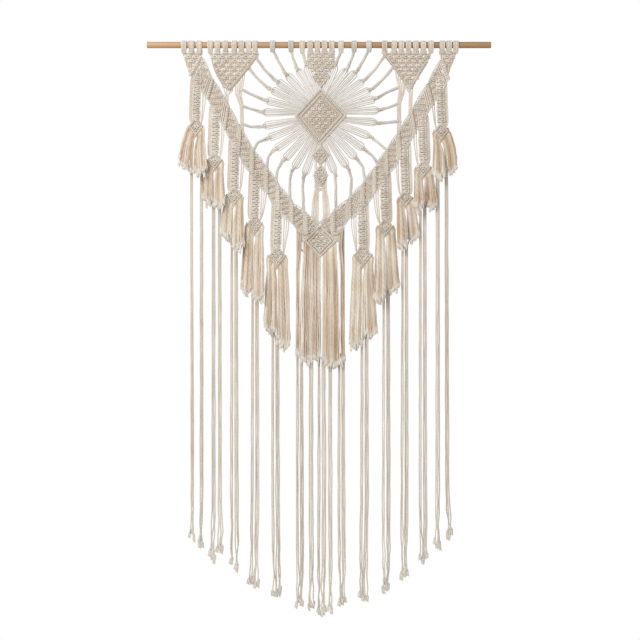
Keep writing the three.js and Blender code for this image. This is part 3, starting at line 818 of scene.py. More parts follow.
def hitches(hank, loops, foot=-20 * MM):
    """The cords of each hitch, side by side round the rod and together again under it."""
    reach = ROD_RADIUS + CORD + 0.15 * MM
    cords, width = 4, 14 * MM
    for x in loops:
        for i in range(cords):
            fan = (i - (cords - 1) / 2) * (width - 2 * CORD) / (cords - 1)
            wander = rng.uniform(-0.4, 0.4) * MM
            path = [(x + fan * 0.8, -1.6 * MM, foot), (x + fan * 0.9, -6.5 * MM, -11.5 * MM)]
            for turn in range(-1, 8):
                t = math.pi * turn / 6
                path.append((x + fan + wander * math.sin(t), -reach * math.cos(t), reach * math.sin(t)))
            path += [(x + fan * 0.9, 6.5 * MM, -11.5 * MM), (x + fan * 0.8, 1.6 * MM, foot)]
            hank.lay(path, CORD * 0.97)


def staggered(columns):
    """The columns of each row: these, and in every other row the places between them."""
    between = [(a + b) / 2 for a, b in zip(columns, columns[1:])]
    return lambda number: between if number % 2 else columns


def fill(node, rows, columns_of, hank, places, allowed=lambda x, z: True):
    """Alternating square knots and the cords between them over a node's outline. Returns its pinholes."""
    holes, pairs = [], {}
    for number, z in enumerate(rows):
        columns = columns_of(number)
        for index, x in enumerate(columns):
            if inside(node, x, z, 5 * MM) and allowed(x, z):
                places.mark(x, 0.0, z, turn=rng.uniform(-KNOT_LEAN, KNOT_LEAN), size=FIELD_KNOT)
                for side in (-1, 1):
                    key = 2 * index + number % 2 + (side > 0)
                    pairs.setdefault(key, []).append((x + side * 3.6 * MM, z))
        gaps = ((a + b) / 2 for a, b in zip(columns, columns[1:]))
        holes += [(x, z) for x in gaps if inside(node, x, z, 7 * MM)]
    # painted shade: the core cords between the knots take the darkest tone
    for line in pairs.values():
        if len(line) > 1:
            for shift in (-CORD, CORD):
                hank.lay([(x + shift, 0.0, z) for x, z in line], shade=PAINTED_DEEP_SHADE)
    return holes


def core(hank, x, y, z, reach):
    """A deep cord as far up as down from a diamond's middle, darkened as painted shade for the depth it lies
    at.
    """
    hank.lay([(x, y, z + reach), (x, y, z), (x, y, z - reach)], shade=PAINTED_DEEP_SHADE)


def blend(a, b, t):
    """The point a share of the way from a to b."""
    return (a[0] + (b[0] - a[0]) * t, a[1] + (b[1] - a[1]) * t)


def drawn_in(points, depth):
    """The corners of a diamond moved in so that its edges lie deeper by a distance."""
    (x0, wide), (z0, tall) = ((middle_of(values), max(values) - min(values)) for values in zip(*points))
    share = 1 - depth * 2 * math.hypot(wide, tall) / (wide * tall)
    return [blend((x0, z0), point, share) for point in points]


def diamond(x, z, half_w, half_h):
    """Top, right, bottom and left points of an upright diamond."""
    return [(x, z + half_h), (x + half_w, z), (x, z - half_h), (x - half_w, z)]


def rope_ring(bars, points, edges=(0, 1, 2, 3), y=0.0):
    """A rope along the edges of a diamond, numbered clockwise from the upper right."""
    closed = points + points[:1]
    for edge in edges:
        bars.lay(along([closed[edge], closed[edge + 1]], 6 * MM), ROPE, y=y)


def knot_diamond(places, points, pitch, row, size, y=0.0):
    """Alternating knots whose middles lie inside a diamond."""
    x0, z0 = points[0][0], points[1][1]
    half_w, half_h = points[1][0] - x0, points[0][1] - z0
    for i in range(-int(half_h / row) - 1, int(half_h / row) + 2):
        z = z0 + i * row
        for k in range(-int(half_w / pitch) - 1, int(half_w / pitch) + 2):
            x = x0 + (k + (0.5 if i % 2 else 0)) * pitch
            if abs(x - x0) / half_w + abs(z - z0) / half_h < 1:
                places.mark(x, y, z, turn=rng.uniform(-KNOT_LEAN, KNOT_LEAN), size=size)


def rows_down(top, foot, step):
    """Heights a step apart from the top down to the foot."""
    return [top - i * step for i in range(int((top - foot) / step) + 1)]


# ---------------------------------------------------------------- camera, light and floor

LENS = 112.5  # mm
SENSOR_WIDTH = 36  # mm
CAMERA_AT = (0.0025, -5.0, -0.6875)
FLOOR_RADIUS, FLOOR_HEIGHT, FLOOR_SIDES = 0.9, -1.75, 96
DAYLIGHT = {"Color": (1.0, 0.985, 0.965, 1), "Strength": 0.57}
BACKDROP = {"Color": (1, 1, 1, 1), "Strength": 1.0}

Lamp = namedtuple("Lamp", "name place target size power")
LAMPS = (
    Lamp("window", (-1.7, -2.6, 1.1), (0, 0, -0.5), 1.7, 97),
    Lamp("fill", (2.2, -2.4, -0.2), (0, 0, -0.7), 2.0, 12),
    Lamp("low fill", (0.3, -3.2, -1.4), (0, 0, -0.7), 2.0, 6),
    Lamp("back fill", (0.8, 3.0, 0.3), (0, 0, -0.6), 2.0, 34),
)


def stage_scene():
    """The camera, the daylight studio with its lamps and the floor far below."""
    scene = bpy.context.scene
    camera = bpy.data.cameras.new("camera")
    camera.lens = LENS
    camera.sensor_width = SENSOR_WIDTH
    scene.camera = shown("camera", camera)
    scene.camera.location = CAMERA_AT
    scene.camera.rotation_euler = (math.pi / 2, 0, 0)

    scene.view_settings.view_transform = "Standard"
    scene.world = bpy.data.worlds.new("studio")
    scene.world.use_nodes = True
    tree = scene.world.node_tree
    soft = feed(tree, tree.nodes["Background"], DAYLIGHT)
    white = put(tree, "ShaderNodeBackground", BACKDROP)
    seen = put(tree, "ShaderNodeLightPath").outputs["Is Camera Ray"]
    either = put(tree, "ShaderNodeMixShader", {0: seen, 1: soft.outputs[0], 2: white.outputs[0]})
    feed(tree, tree.nodes["World Output"], {"Surface": either.outputs[0]})

    for lamp in LAMPS:
        light = bpy.data.lights.new(lamp.name, "AREA")
        light.size = lamp.size
        light.energy = lamp.power
        holder = shown(lamp.name, light)
        holder.location = lamp.place
        x, y, z = np.subtract(lamp.target, lamp.place)
        holder.rotation_euler = (math.atan2(math.hypot(x, y), -z), 0, math.atan2(y, x) - math.pi / 2)

    turns = [2 * math.pi * i / FLOOR_SIDES for i in range(FLOOR_SIDES)]
    ring = [(FLOOR_RADIUS * math.cos(t), FLOOR_RADIUS * math.sin(t), FLOOR_HEIGHT) for t in turns]
    built("floor", ring, [list(range(FLOOR_SIDES))], FLOOR)


# ---------------------------------------------------------------- rod

def dowel():
    """A round rod with its edges just broken."""
    low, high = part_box("rod")
    radius = (high.z - low.z) / 2
    sides, chamfer = 64, 0.6 * MM
    stations = [(low.x, radius - chamfer), (low.x + chamfer, radius)]
    stations += [(x, radius) for x in np.linspace(low.x + 2 * MM, high.x - 2 * MM, 40)]
    stations += [(high.x - chamfer, radius), (high.x, radius - chamfer)]
    turns = [2 * math.pi * k / sides for k in range(sides)]
    points = [(x, r * math.cos(t), r * math.sin(t)) for x, r in stations for t in turns]
    last = len(points) - sides
    quads = []
    for first in range(0, last, sides):
        for k in range(sides):
            a, b = first + k, first + (k + 1) % sides
            quads.append((a, b, b + sides, a + sides))
    quads += [tuple(range(sides))[::-1], tuple(range(last, last + sides))]
    piece = built("rod_dowel", points, quads, WOOD)
    piece.data.shade_smooth()
    for face in list(piece.data.polygons)[-2:]:
        face.use_smooth = False
    settle([piece], "rod")


# ---------------------------------------------------------------- knotted sections under the rod

def hung_section(node, hole_size):
    """Hitches on the rod, rows of square knots under them and the bar along the lower edge."""
    hank, places, bars = Hank(), Places(), Bars()
    loops = loops_on(node)
    low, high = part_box(node)
    hitches(hank, loops)
    pitch = (loops[-1] - loops[0]) / (len(loops) - 1)
    spread = [loops[0] - 2 * pitch, loops[0] - pitch, *loops, loops[-1] + pitch, loops[-1] + 2 * pitch]
    holes = fill(node, rows_down(FIRST_ROW, low.z + 5 * MM, OPEN_ROWS), staggered(spread), hank, places)
    bars.lay(crests(node), (1.0, 1.02, 1.0))
    ground, area = ground_sheet(node + "_ground", node, 2, low.z, HEADING, pinholes(holes, hole_size))
    pieces = worked(node + "_%s", "bar", hank, places, bars, step=4.5 * MM)
    hang_sheet(node, ground, pieces)


# ---------------------------------------------------------------- sun

def sun():
    """The large diamond with its double raised border."""
    node = "sun_diamond"
    hank, places, bars = Hank(), Places(), Bars()
    low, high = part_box(node)
    for depth in ROPE_DEPTHS:
        rope_ring(bars, drawn_in(SUN, depth))
    knot_diamond(places, drawn_in(SUN, 18 * MM), KNOT_WIDTH, CLOSE_ROWS, SUN_KNOT, y=-0.6 * MM)
    # painted shade: the core cords behind the knots take the darkest tone
    for x in np.arange(low.x + 8 * MM, high.x - 6 * MM, 4 * MM):
        span = span_at(node, 0, x)
        if span.high - span.low > 30 * MM:
            hank.lay([(x, 0, z) for z in np.linspace(span.high - 10 * MM, span.low + 10 * MM, 6)], shade=PAINTED_DEEP_SHADE)
    ground, area = ground_sheet("sun_ground", node, 2, low.z + 1 * MM, high.z - 1 * MM)
    pieces = worked("sun_%s", "borders", hank, places, bars, step=8 * MM)
    hang_sheet(node, ground, pieces)


# ---------------------------------------------------------------- spokes

Station = namedtuple("Station", "x z half depth_half radius")


def spoke_line(node):
    """Stations down the middle of a spoke, outwards from the sun."""
    points = faces(node).reshape(-1, 3)
    points = points[points[:, 2] < HEADING]
    away = np.hypot(points[:, 0] - SUN_X, points[:, 2] - SUN_Z)
    stations = []
    for radius in np.arange(away.min() + 0.6 * MM, away.max() - 0.4 * MM, 3 * MM):
        spans = ring_cut(node, radius)
        if not spans:
            continue
        span = spans[0]
        x, z = SUN_X + radius * math.sin(middle(span)), SUN_Z + radius * math.cos(middle(span))
        if z > HEADING:
            break
        half = (span.high - span.low) * radius / 2
        stations.append(Station(x, z, half, (span.back - span.front) / 2, radius))
    return stations


def edge_of_sun(x, z):
    """Unit direction along the side of the sun that a point lies nearest to."""
    sides = []
    for a, b in zip(SUN, SUN[1:] + SUN[:1]):
        along_x, along_z = b[0] - a[0], b[1] - a[1]
        length = math.hypot(along_x, along_z)
        away = abs((x - a[0]) * along_z - (z - a[1]) * along_x) / length
        sides.append((away, along_x / length, along_z / length))
    return min(sides)[1:]


def ray(hank, places, root, wide, tie, half, neck, root_half=7 * MM):
    """Cords side by side on the sun's edge, bowed at the shoulder, gathered at the tie and led on."""
    out = np.subtract(tie, wide)
    fan = np.linalg.norm(out)
    out = out / fan
    side = edge_of_sun(*root)
    if side[0] * -out[1] + side[1] * out[0] < 0:
        side = (-side[0], -side[1])
    count = len(FAN_SPREAD)
    for k, spread in enumerate(FAN_SPREAD):
        share = -1 + 2 * k / (count - 1)
        lift = (0.8 if k % 2 else -0.8) * MM
        low = (root[0] + share * root_half * side[0] - out[0] * 4 * MM, 0.0,
               root[1] + share * root_half * side[1] - out[1] * 4 * MM)
        reach = (spread + rng.uniform(-0.05, 0.05)) * (half - FAN_CORD)
        high = (wide[0] - out[1] * reach, lift, wide[1] + out[0] * reach)
        path = [tuple(low[i] + (high[i] - low[i]) * f for i in range(3)) for f in (0, 0.3, 0.6, 0.85)]
        for t in (0.0, 0.3, 0.55, 0.78, 1.0):
            lateral = reach * (0.86 * max(0.0, math.cos(t * math.pi / 2)) ** 0.75 + 0.14)
            path.append((wide[0] + out[0] * fan * t - out[1] * lateral, lift * (1 + t),
                         wide[1] + out[1] * fan * t + out[0] * lateral))
        led = neck(2 * math.pi * k / count)
        hank.lay(path + led, FAN_CORD, slack=[0] * len(path) + [0.5] * len(led))
    turn = math.atan2(out[0], out[1])
    for step, size in ((-2.4 * MM, (0.6, 1.15, 0.95)), (3.8 * MM, (0.5, 1.0, 0.85))):
        places.mark(tie[0] + out[0] * step, 0, tie[1] + out[1] * step, turn=turn, size=size)


def lay_spoke(hank, places, stations):
    """A ray along the stations of a spoke."""
    ahead = np.gradient([(s.x, s.z) for s in stations], axis=0)
    ahead /= np.linalg.norm(ahead, axis=1)[:, None]
    near = [i for i, s in enumerate(stations) if s.radius < stations[0].radius + 90 * MM]
    shoulder = max(near, key=lambda i: stations[i].half)
    gather = max((i for i in near if shoulder < i <= shoulder + 9), key=lambda i: stations[i].depth_half)
    start = rng.uniform(0, math.pi)

    def neck(phase):
        path = []
        for i in range(gather + 2, len(stations)):
            s = stations[i]
            slant = abs(ahead[i][0] * (s.x - SUN_X) + ahead[i][1] * (s.z - SUN_Z)) / s.radius
            half = max(s.half * max(slant, 0.5), 3.0 * MM)
            turn = start + phase + (i - gather) * 0.1
            off = math.cos(turn) * (half - FAN_CORD)
            path.append((s.x - ahead[i][1] * off, math.sin(turn) * 1.9 * MM, s.z + ahead[i][0] * off))
        if stations[-1].z < HEADING - 8 * MM:
            path.append((path[-1][0] + ahead[-1][0] * 8 * MM, 3.2 * MM, path[-1][2] + ahead[-1][1] * 8 * MM))
        return path

    root, wide, tie = ((stations[i].x, stations[i].z) for i in (0, shoulder, gather))
    ray(hank, places, root, wide, tie, stations[shoulder].half * 1.05, neck)


def spokes(side):
    """The rays of one side, and the small knots that gather them."""
    places = Places()
    for number in range(1, 13):
        node = f"spoke_{side}_{number}"
        hank = Hank()
        lay_spoke(hank, places, spoke_line(node))
        hitches(hank, loops_on(node), foot=-17 * MM)
        strands = hank.piece(f"ray_{side}_{number}", PALE, step=4 * MM, sway=1.5 * MM, sway_scale=24.0)
        settle([strands], node)
    settle([places.piece(f"ray_knots_{side}", SQUARE_KNOT, CREAM)])


# ---------------------------------------------------------------- crown and centre

def crown():
    """The work under the middle loops, its small diamond and the short ray on each side of it."""
    node = "crown"
    loops = loops_on(node)
    low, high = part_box(node)
    hank, places, bars, rays = Hank(), Places(), Bars(), Hank()
    hitches(hank, loops)
    field = loops[1:-1]
    pitch = (field[-1] - field[0]) / (len(field) - 1)
    mid = (field[0] + field[-1]) / 2
    ring_w, ring_h = 23, 28  # mm, half its width and half its height
    ring = diamond(mid, low.z + 34 * MM, ring_w * MM, ring_h * MM)

    def tapered(x, z):
        return abs(x - mid) < 34 * MM - 1.9 * max(0, -56 * MM - z) and z > -70 * MM

    columns_of = staggered([field[0] - pitch, *field, field[-1] + pitch])
    fill(node, rows_down(FIRST_ROW, -66 * MM, CLOSE_ROWS), columns_of, hank, places, tapered)
    rope_ring(bars, drawn_in(ring, 3 * MM), y=-0.8 * MM)
    knot_diamond(places, drawn_in(ring, 7 * MM), 12 * MM, 8.4 * MM, CROWN_KNOT, y=-0.8 * MM)
    for shift in range(-16, 17, 4):
        core(hank, mid + shift * MM, 0.6 * MM, ring[1][1], ring_h * MM * (1 - abs(shift) / ring_w))
    level = -46 * MM
    span = span_at(node, 2, level)
    for edge, corner_at, loop, turn in ((span.low, SUN[3], loops[0], 1), (span.high, SUN[1], loops[-1], -1)):
        tie = (edge + turn * 3 * MM, level)
        root = blend(SUN[0], corner_at, 0.14)
        away = np.subtract(root, tie)
        wide = tuple(np.add(tie, away * 18 * MM / np.linalg.norm(away)))

        def neck(phase, tie=tie, loop=loop):
            path = []
            for t in (0.35, 0.7, 1.0):
                x, z = blend(tie, (loop, -16 * MM), t)
                path.append((x + math.cos(phase + 2 * t) * 2.6 * MM, math.sin(phase + 2 * t) * 1.6 * MM, z))
            return path

        ray(rays, places, root, wide, tie, 11.5 * MM, neck, root_half=9 * MM)
    ground, area = ground_sheet("crown_ground", node, 2, ring[0][1] - 8 * MM, HEADING,
                                lambda x, z: not tapered(x, z))
    pieces = [hank.piece("crown_cords", CREAM, step=4.5 * MM), rays.piece("crown_rays", PALE, step=4 * MM),
              places.piece("crown_knots", SQUARE_KNOT, CREAM), bars.piece("crown_ring", CREAM)]
    hang_sheet(node, ground, pieces)


def centre_drop():
    """Two diamonds under the sun and the cords that part below them."""
    node = "centre_drop"
    low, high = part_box(node)
    hank, places, bars = Hank(), Places(), Bars()
    width = {}
    for z in np.arange(high.z - 2 * MM, low.z, -2 * MM):
        span = span_at(node, 2, z)
        width[z] = span.high - span.low
    waist = min((z for z in width if high.z - 55 * MM < z < high.z - 25 * MM), key=width.get)
    foot = min((z for z in width if waist - 65 * MM < z < waist - 35 * MM), key=width.get)
    mid = middle(span_at(node, 2, waist))
    upper = diamond(mid, (high.z + waist) / 2 + 3 * MM, 22 * MM, (high.z - waist) / 2 + 8 * MM)
    lower = diamond(mid, waist - (waist - foot) * 0.53, 20 * MM, (waist - foot) * 0.6)
    for points in (upper, lower):
        rope_ring(bars, drawn_in(points, 3.2 * MM), y=-0.8 * MM)
        knot_diamond(places, drawn_in(points, 7 * MM), 10.5 * MM, 7.6 * MM, CENTRE_KNOT, y=-0.4 * MM)
        centre = points[1][1]
        for shift in range(-14, 15, 4):
            core(hank, mid + shift * MM, 0, centre, (points[0][1] - centre) * (1 - abs(shift) / 21))
    for shift in (-14, -10.5, 11):
        near, far = mid + shift * MM, mid + shift * 1.1 * MM
        hank.lay([(far, 0, upper[1][1] - 3 * MM), (near, 0.5 * MM, waist - 6 * MM),
                  (far, 0, lower[1][1] + 4 * MM)], ARC_CORD)
    for pick in (0, -1):
        for k in range(5):
            share = -1 + k / 2
            across = (-1 + k / 5 if pick == 0 else (k + 1) / 5) * 14 * MM
            path = [(mid + across, 0.5 * MM, lower[2][1] + 10 * MM + abs(across) * 1.4),
                    (mid + across * 1.02, 0, lower[2][1] - 6 * MM + abs(across) * 0.5)]
            for z in np.arange(foot - 6 * MM, low.z, -9 * MM):
                spans = cut(node, 2, z)
                if spans:
                    span = spans[pick]
                    half = max((span.high - span.low) / 2 - STRAND, 3 * MM)
                    path.append((middle(span) + share * half, rng.uniform(-0.4, 0.4) * MM, z))
            hank.lay(path, STRAND * 0.92, slack=0.3)
    pieces = worked("centre_%s", "ring", hank, places, bars, step=6 * MM, sway=2.5 * MM)
    settle(pieces, node)


# ---------------------------------------------------------------- bands

BOWS = (6, 7, 6.5, 6, 6, 6, 5.5, 5, 3)  # mm that the cords over each block bow up, from the corner inwards


def block_edges(side):
    """The bars across a band, from the corner section inwards, as (top, foot) pairs of (x, z) points."""
    node, inner = f"band_{side}", INWARD[side]
    seam = sorted(crests(f"corner_{side}"), key=lambda point: -point[1])
    (top_x, top_z), (foot_x, foot_z) = seam[0], seam[-1]
    edges = [((top_x + inner * 3 * MM, top_z), (foot_x + inner * 1 * MM, foot_z - 2 * MM))]
    uprights = sorted({round(x, 4) for x, _ in crests(node)}, key=abs, reverse=True)
    for number, x in enumerate(uprights):
        if any(abs(x - foot[0]) < 12 * MM for _, foot in edges[1:]):
            continue
        lean = max(0, 6.5 - 2 * number) * MM * inner
        top, foot = span_at(node, 0, x + lean).high, span_at(node, 0, x - lean).low
        edges.append(((x + lean, top - 2 * MM), (x - lean, foot + 2 * MM)))
    low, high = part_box(node)
    end = high.x - 1.5 * MM if side == "left" else low.x + 1.5 * MM
    span = span_at(node, 0, end)
    edges.append(((end, span.high), (end, span.low - 22 * MM)))
    return edges


def bowed(a, b, bulge, y):
    """A cord from a to b that bows out sideways by a bulge, up when it is positive."""
    line = ((t, *blend(a, b, t)) for t in (0, 0.15, 0.35, 0.55, 0.75, 0.9, 1))
    return [(x, y, z + bulge * math.sin(math.pi * t ** 0.85)) for t, x, z in line]


def band(side):
    """The wide band of knotted blocks, the bars between them and the cords that bridge its edges."""
    node = f"band_{side}"
    low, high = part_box(node)
    hank, arcs, places, bars = Hank(), Hank(), Places(), Bars()
    edges = block_edges(side)
    last = len(edges) - 2
    pitch, row_step = 9.0 * MM, 7.5 * MM
    field_start, field = 0.12, 0.6  # the shares of a block's width before its knots and under them
    for top, foot in edges[1:-1]:
        bars.lay(along([top, foot], 6 * MM), (0.85, 1.15, 1.0), y=-0.8 * MM)

    def roof_drop(u):
        """The work starts this far below a block's upper edge."""
        return 1 * MM + 3.5 * MM * u

    for number, pair in enumerate(zip(edges, edges[1:])):
        left, right = pair if side == "left" else pair[::-1]
        top, foot = left
        upright = np.subtract(top, foot)
        turn = math.atan2(*upright)
        wide = abs(blend(*right, 0.5)[0] - blend(*left, 0.5)[0])
        columns = max(2, round(wide * field / pitch))
        rows = max(3, round(math.hypot(*upright) / row_step))
        for row in range(rows):
            v = (row + 0.5) / rows
            for column in range(columns):
                u = field_start + (column + (0.75 if row % 2 else 0.25)) / columns * field
                x, z = blend(blend(top, right[0], u), blend(foot, right[1], u), v)
                under_point = number == last and abs(x) < 40 * MM and z < -486 * MM + abs(x)
                if not under_point:
                    places.mark(x, 0, z, turn=turn + rng.uniform(-0.12, 0.12), size=BAND_KNOT)
        for u in (0.06, 0.18, 0.3, 0.42, 0.54, 0.66, 0.75, 0.84, 0.93):
            ends = blend(top, right[0], u), blend(foot, right[1], u)
            line = [blend(*ends, v) for v in (0, 0.25, 0.5, 0.75, 1)]
            line[0] = (line[0][0], line[0][1] - roof_drop(u))
            # painted shade: cords behind the knots take the darkest tone, those in front near the inner edge
            # keep their own random tone
            depth, shade = (-1.6 * MM, None) if u > 0.7 else (0.6 * MM, PAINTED_DEEP_SHADE)
            hank.lay([(x, depth, z) for x, z in line], shade=shade)
        bow = BOWS[min(number, len(BOWS) - 1)] * MM
        sag = (4 if number < 3 else 9.5) * MM
        for lane in range(3):  # over the block's upper edge
            start, finish = blend(top, foot, 0.05 * lane), blend(*right, 0.05 * lane)
            arcs.lay(bowed(start, finish, bow - lane * 3.1 * MM, (-2.4 + lane) * MM), ARC_CORD)
        for lane in range(3 if number < last else 0):  # and under its lower one
            start, finish = blend(foot, top, 0.03 * lane), blend(*right[::-1], 0.03 * lane)
            arcs.lay(bowed(start, finish, -sag + lane * 2.9 * MM, (-2.2 + lane) * MM), ARC_CORD)

    def bar_x(bar, z):
        top, foot = bar
        return blend(top, foot, (top[1] - z) / (top[1] - foot[1]))[0]

    def open_at(x, z):
        for left, right in zip(edges, edges[1:]):
            start = bar_x(left, z)
            u = (x - start) / (bar_x(right, z) - start)
            if 0 <= u <= 1:
                roof, floor = blend(left[0], right[0], u)[1], blend(left[1], right[1], u)[1]
                return z > roof - roof_drop(u if side == "left" else 1 - u) or z < floor + 1 * MM
        return False

    ground, area = ground_sheet(f"band_ground_{side}", node, 0, low.x + 1 * MM, high.x - 1 * MM, open_at)
    pieces = [hank.piece(f"band_cords_{side}", CREAM, step=6 * MM),
              arcs.piece(f"band_arcs_{side}", PALE, step=5 * MM),
              places.piece(f"band_knots_{side}", SQUARE_KNOT, CREAM),
              bars.piece(f"band_bars_{side}", CREAM)]
    hang_sheet(node, ground, pieces)


# ---------------------------------------------------------------- point diamond

def point():
    """The diamond at the point of the bands and the cords that run into it from both."""
    node = "point_diamond"
    low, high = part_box(node)
    x0, z0 = (low.x + high.x) / 2, (low.z + high.z) / 2
    half = (high.x - low.x) / 2
    hank, places, bars = Hank(), Places(), Bars()
    outline = corners(node)
    for depth in ROPE_DEPTHS:
        rope_ring(bars, drawn_in(outline, depth), y=-0.6 * MM)
    knot_diamond(places, drawn_in(outline, 15.5 * MM), 14 * MM, 9.2 * MM, POINT_KNOT, y=-0.6 * MM)
    for x in np.arange(low.x + 6 * MM, high.x - 5 * MM, 4 * MM):
        reach = half * (1 - abs(x - x0) / half) - 4 * MM
        if reach > 2 * MM:
            core(hank, x, 0, z0, reach)
    for turn in (-1, 1):
        for lane in range(10):
            t = lane / 9
            start = (x0 + turn * (half + (15 - 29 * t) * MM), z0 + (31 - 8 * t) * MM)
            end = (x0 + turn * (half + (1 - 14 * t) * MM), z0 + (-3 + 15 * t) * MM)
            bend = blend(start, end, 0.5)
            hank.lay([(x, y * MM, z) for (x, z), y in ((start, 0.5), (bend, 0.2), (end, 0.5))])
        for lane in range(3):
            start = (x0 + turn * (half + (19 - 3 * lane) * MM), z0 + (35 + 2 * lane) * MM)
            end = (x0 + turn * (half * 0.72), z0 + half * 0.34 + lane * 3 * MM)
            hank.lay(bowed(start, end, -7 * MM, (-3.0 + 0.6 * lane) * MM), ARC_CORD)
    ground, area = ground_sheet("point_ground", node, 2, low.z + 2 * MM, high.z - 2 * MM)
    pieces = worked("point_%s", "borders", hank, places, bars, step=8 * MM)
    hang_sheet(node, ground, pieces)


# ---------------------------------------------------------------- drops

def drop(side, number):
    """A sinnet of square knots, the loose cords beside it and the small diamond at its foot."""
    node = f"drop_{side}_{number}"
    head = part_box(node)[1].z
    x0, foot, half_w, half_h = hanging_edges(node)
    centre, inner, y = foot + half_h, INWARD[side], -1 * MM
    top = centre + half_h
    outline = diamond(x0, centre, half_w, half_h)
    hank, places, bars = Hank(), Places(), Bars()

    def sinnet_x(z):
        return x0 + inner * 4 * MM * (z - centre) / (head - centre)

    for z in rows_down(head + 3 * MM, top - 9 * MM, SINNET_ROWS):
        places.mark(sinnet_x(z) + rng.uniform(-0.7, 0.7) * MM, y, z, turn=rng.uniform(-0.16, 0.16),
                    size=SINNET_KNOT)
    rope_ring(bars, drawn_in(outline, 3 * MM), y=y)
    rope_ring(bars, drawn_in(outline, 9.5 * MM), edges=(1, 2), y=y - 0.4 * MM)
    knot_diamond(places, drawn_in(outline, 6 * MM), 11.5 * MM, 8.4 * MM, DROP_KNOT, y=y)
    places.mark(x0, y, top - 9 * MM, size=(0.6, 1.05, 1.0))
    for shift in (-2 * MM, 2 * MM):
        hank.lay([(sinnet_x(head) + shift, y, head + 6 * MM), (x0 + shift, y, top),
                  (x0 + shift * 2, y, centre), (x0 + shift, y, foot)])
    # painted shade: thick cords of the darkest tone behind the sides of the sinnet make its gaps read as
    # shade
    for shift in (-6.4 * MM, 6.4 * MM):
        levels = np.linspace(head + 4 * MM, top - 6 * MM, 5)
        hank.lay([(sinnet_x(z) + shift, 0.4 * MM, z) for z in levels], CORD * 1.25, shade=PAINTED_DEEP_SHADE)
    for shift in (-13, -9.5, -6, 0, 6, 9.5, 13):
        core(hank, x0 + shift * MM, y, centre, half_h * (1 - abs(shift) * MM / half_w))
    for lane in range(3):
        off = -inner * (10.6 + 3.2 * lane) * MM
        start = sinnet_x(head)
        path = [(start + off * 0.5, 1.6 * MM, head + 20 * MM), (start + off * 0.88, 1 * MM, head + 7 * MM)]
        path += [(sinnet_x(z) + off, 0.4 * MM, z) for z in (head - 10 * MM, (head + top) / 2, top + 3 * MM)]
        hank.lay(path + [(x0 + off * 0.8, y, centre + half_h * 0.45)], STRAND, slack=0.25)
    for lane in range(2 + number // 4):
        start = sinnet_x(head) + inner * (12 + 4 * lane) * MM
        bow = (4 + 3 * lane) * MM * inner
        hank.lay([(start - bow, 1 * MM, head - 4 * MM), (start, 0.4 * MM, head - 20 * MM),
                  (start + bow * 0.5, 0, (head + top) / 2), (start - bow * 0.2, 0, top + 3 * MM),
                  (x0 + inner * (half_w - 6 * MM), y, centre + half_h * 0.3)], ARC_CORD * 1.1, slack=0.6)
    pieces = worked(f"drop_%s_{side}_{number}", "ring", hank, places, bars, step=5 * MM, sway=4 * MM)
    return settle(pieces, node)


# ---------------------------------------------------------------- cut cords

Level = namedtuple("Level", "z low high front back")


def lobe_levels(node, pick, top, foot):
    """A lobe's spans from its neck down to its cut end."""
    cuts = ((z, cut(node, 2, z)) for z in np.arange(top, foot, -10 * MM))
    return [Level(z, *spans[pick]) for z, spans in cuts if len(spans) == 2]


def carried_on(levels, z):
    """The span at a height, kept to the line of the full sections where the cut end slants."""
    heights, *columns = np.array(levels[-3::-1]).T
    if z < heights[0]:
        rise, run = z - heights[0], heights[3] - heights[0]
        return [column[0] + (column[3] - column[0]) / run * rise for column in columns]
    return [float(np.interp(z, heights, column)) for column in columns]


def in_lobe(lobes, pick, share, slit, z):
    """Where a cord hangs across its lobe at a height, and the lobe's front and back there.

    The two lobes are brought together up to the slit.
    """
    a, b, front, back = carried_on(lobes[pick], z)
    other = carried_on(lobes[1 - pick], z)
    if pick == 0:
        b += max(0, other[0] - b - slit) / 2
    else:
        a -= max(0, a - other[1] - slit) / 2
    return (a + b) / 2 + share * ((b - a) / 2 - CORD), front, back


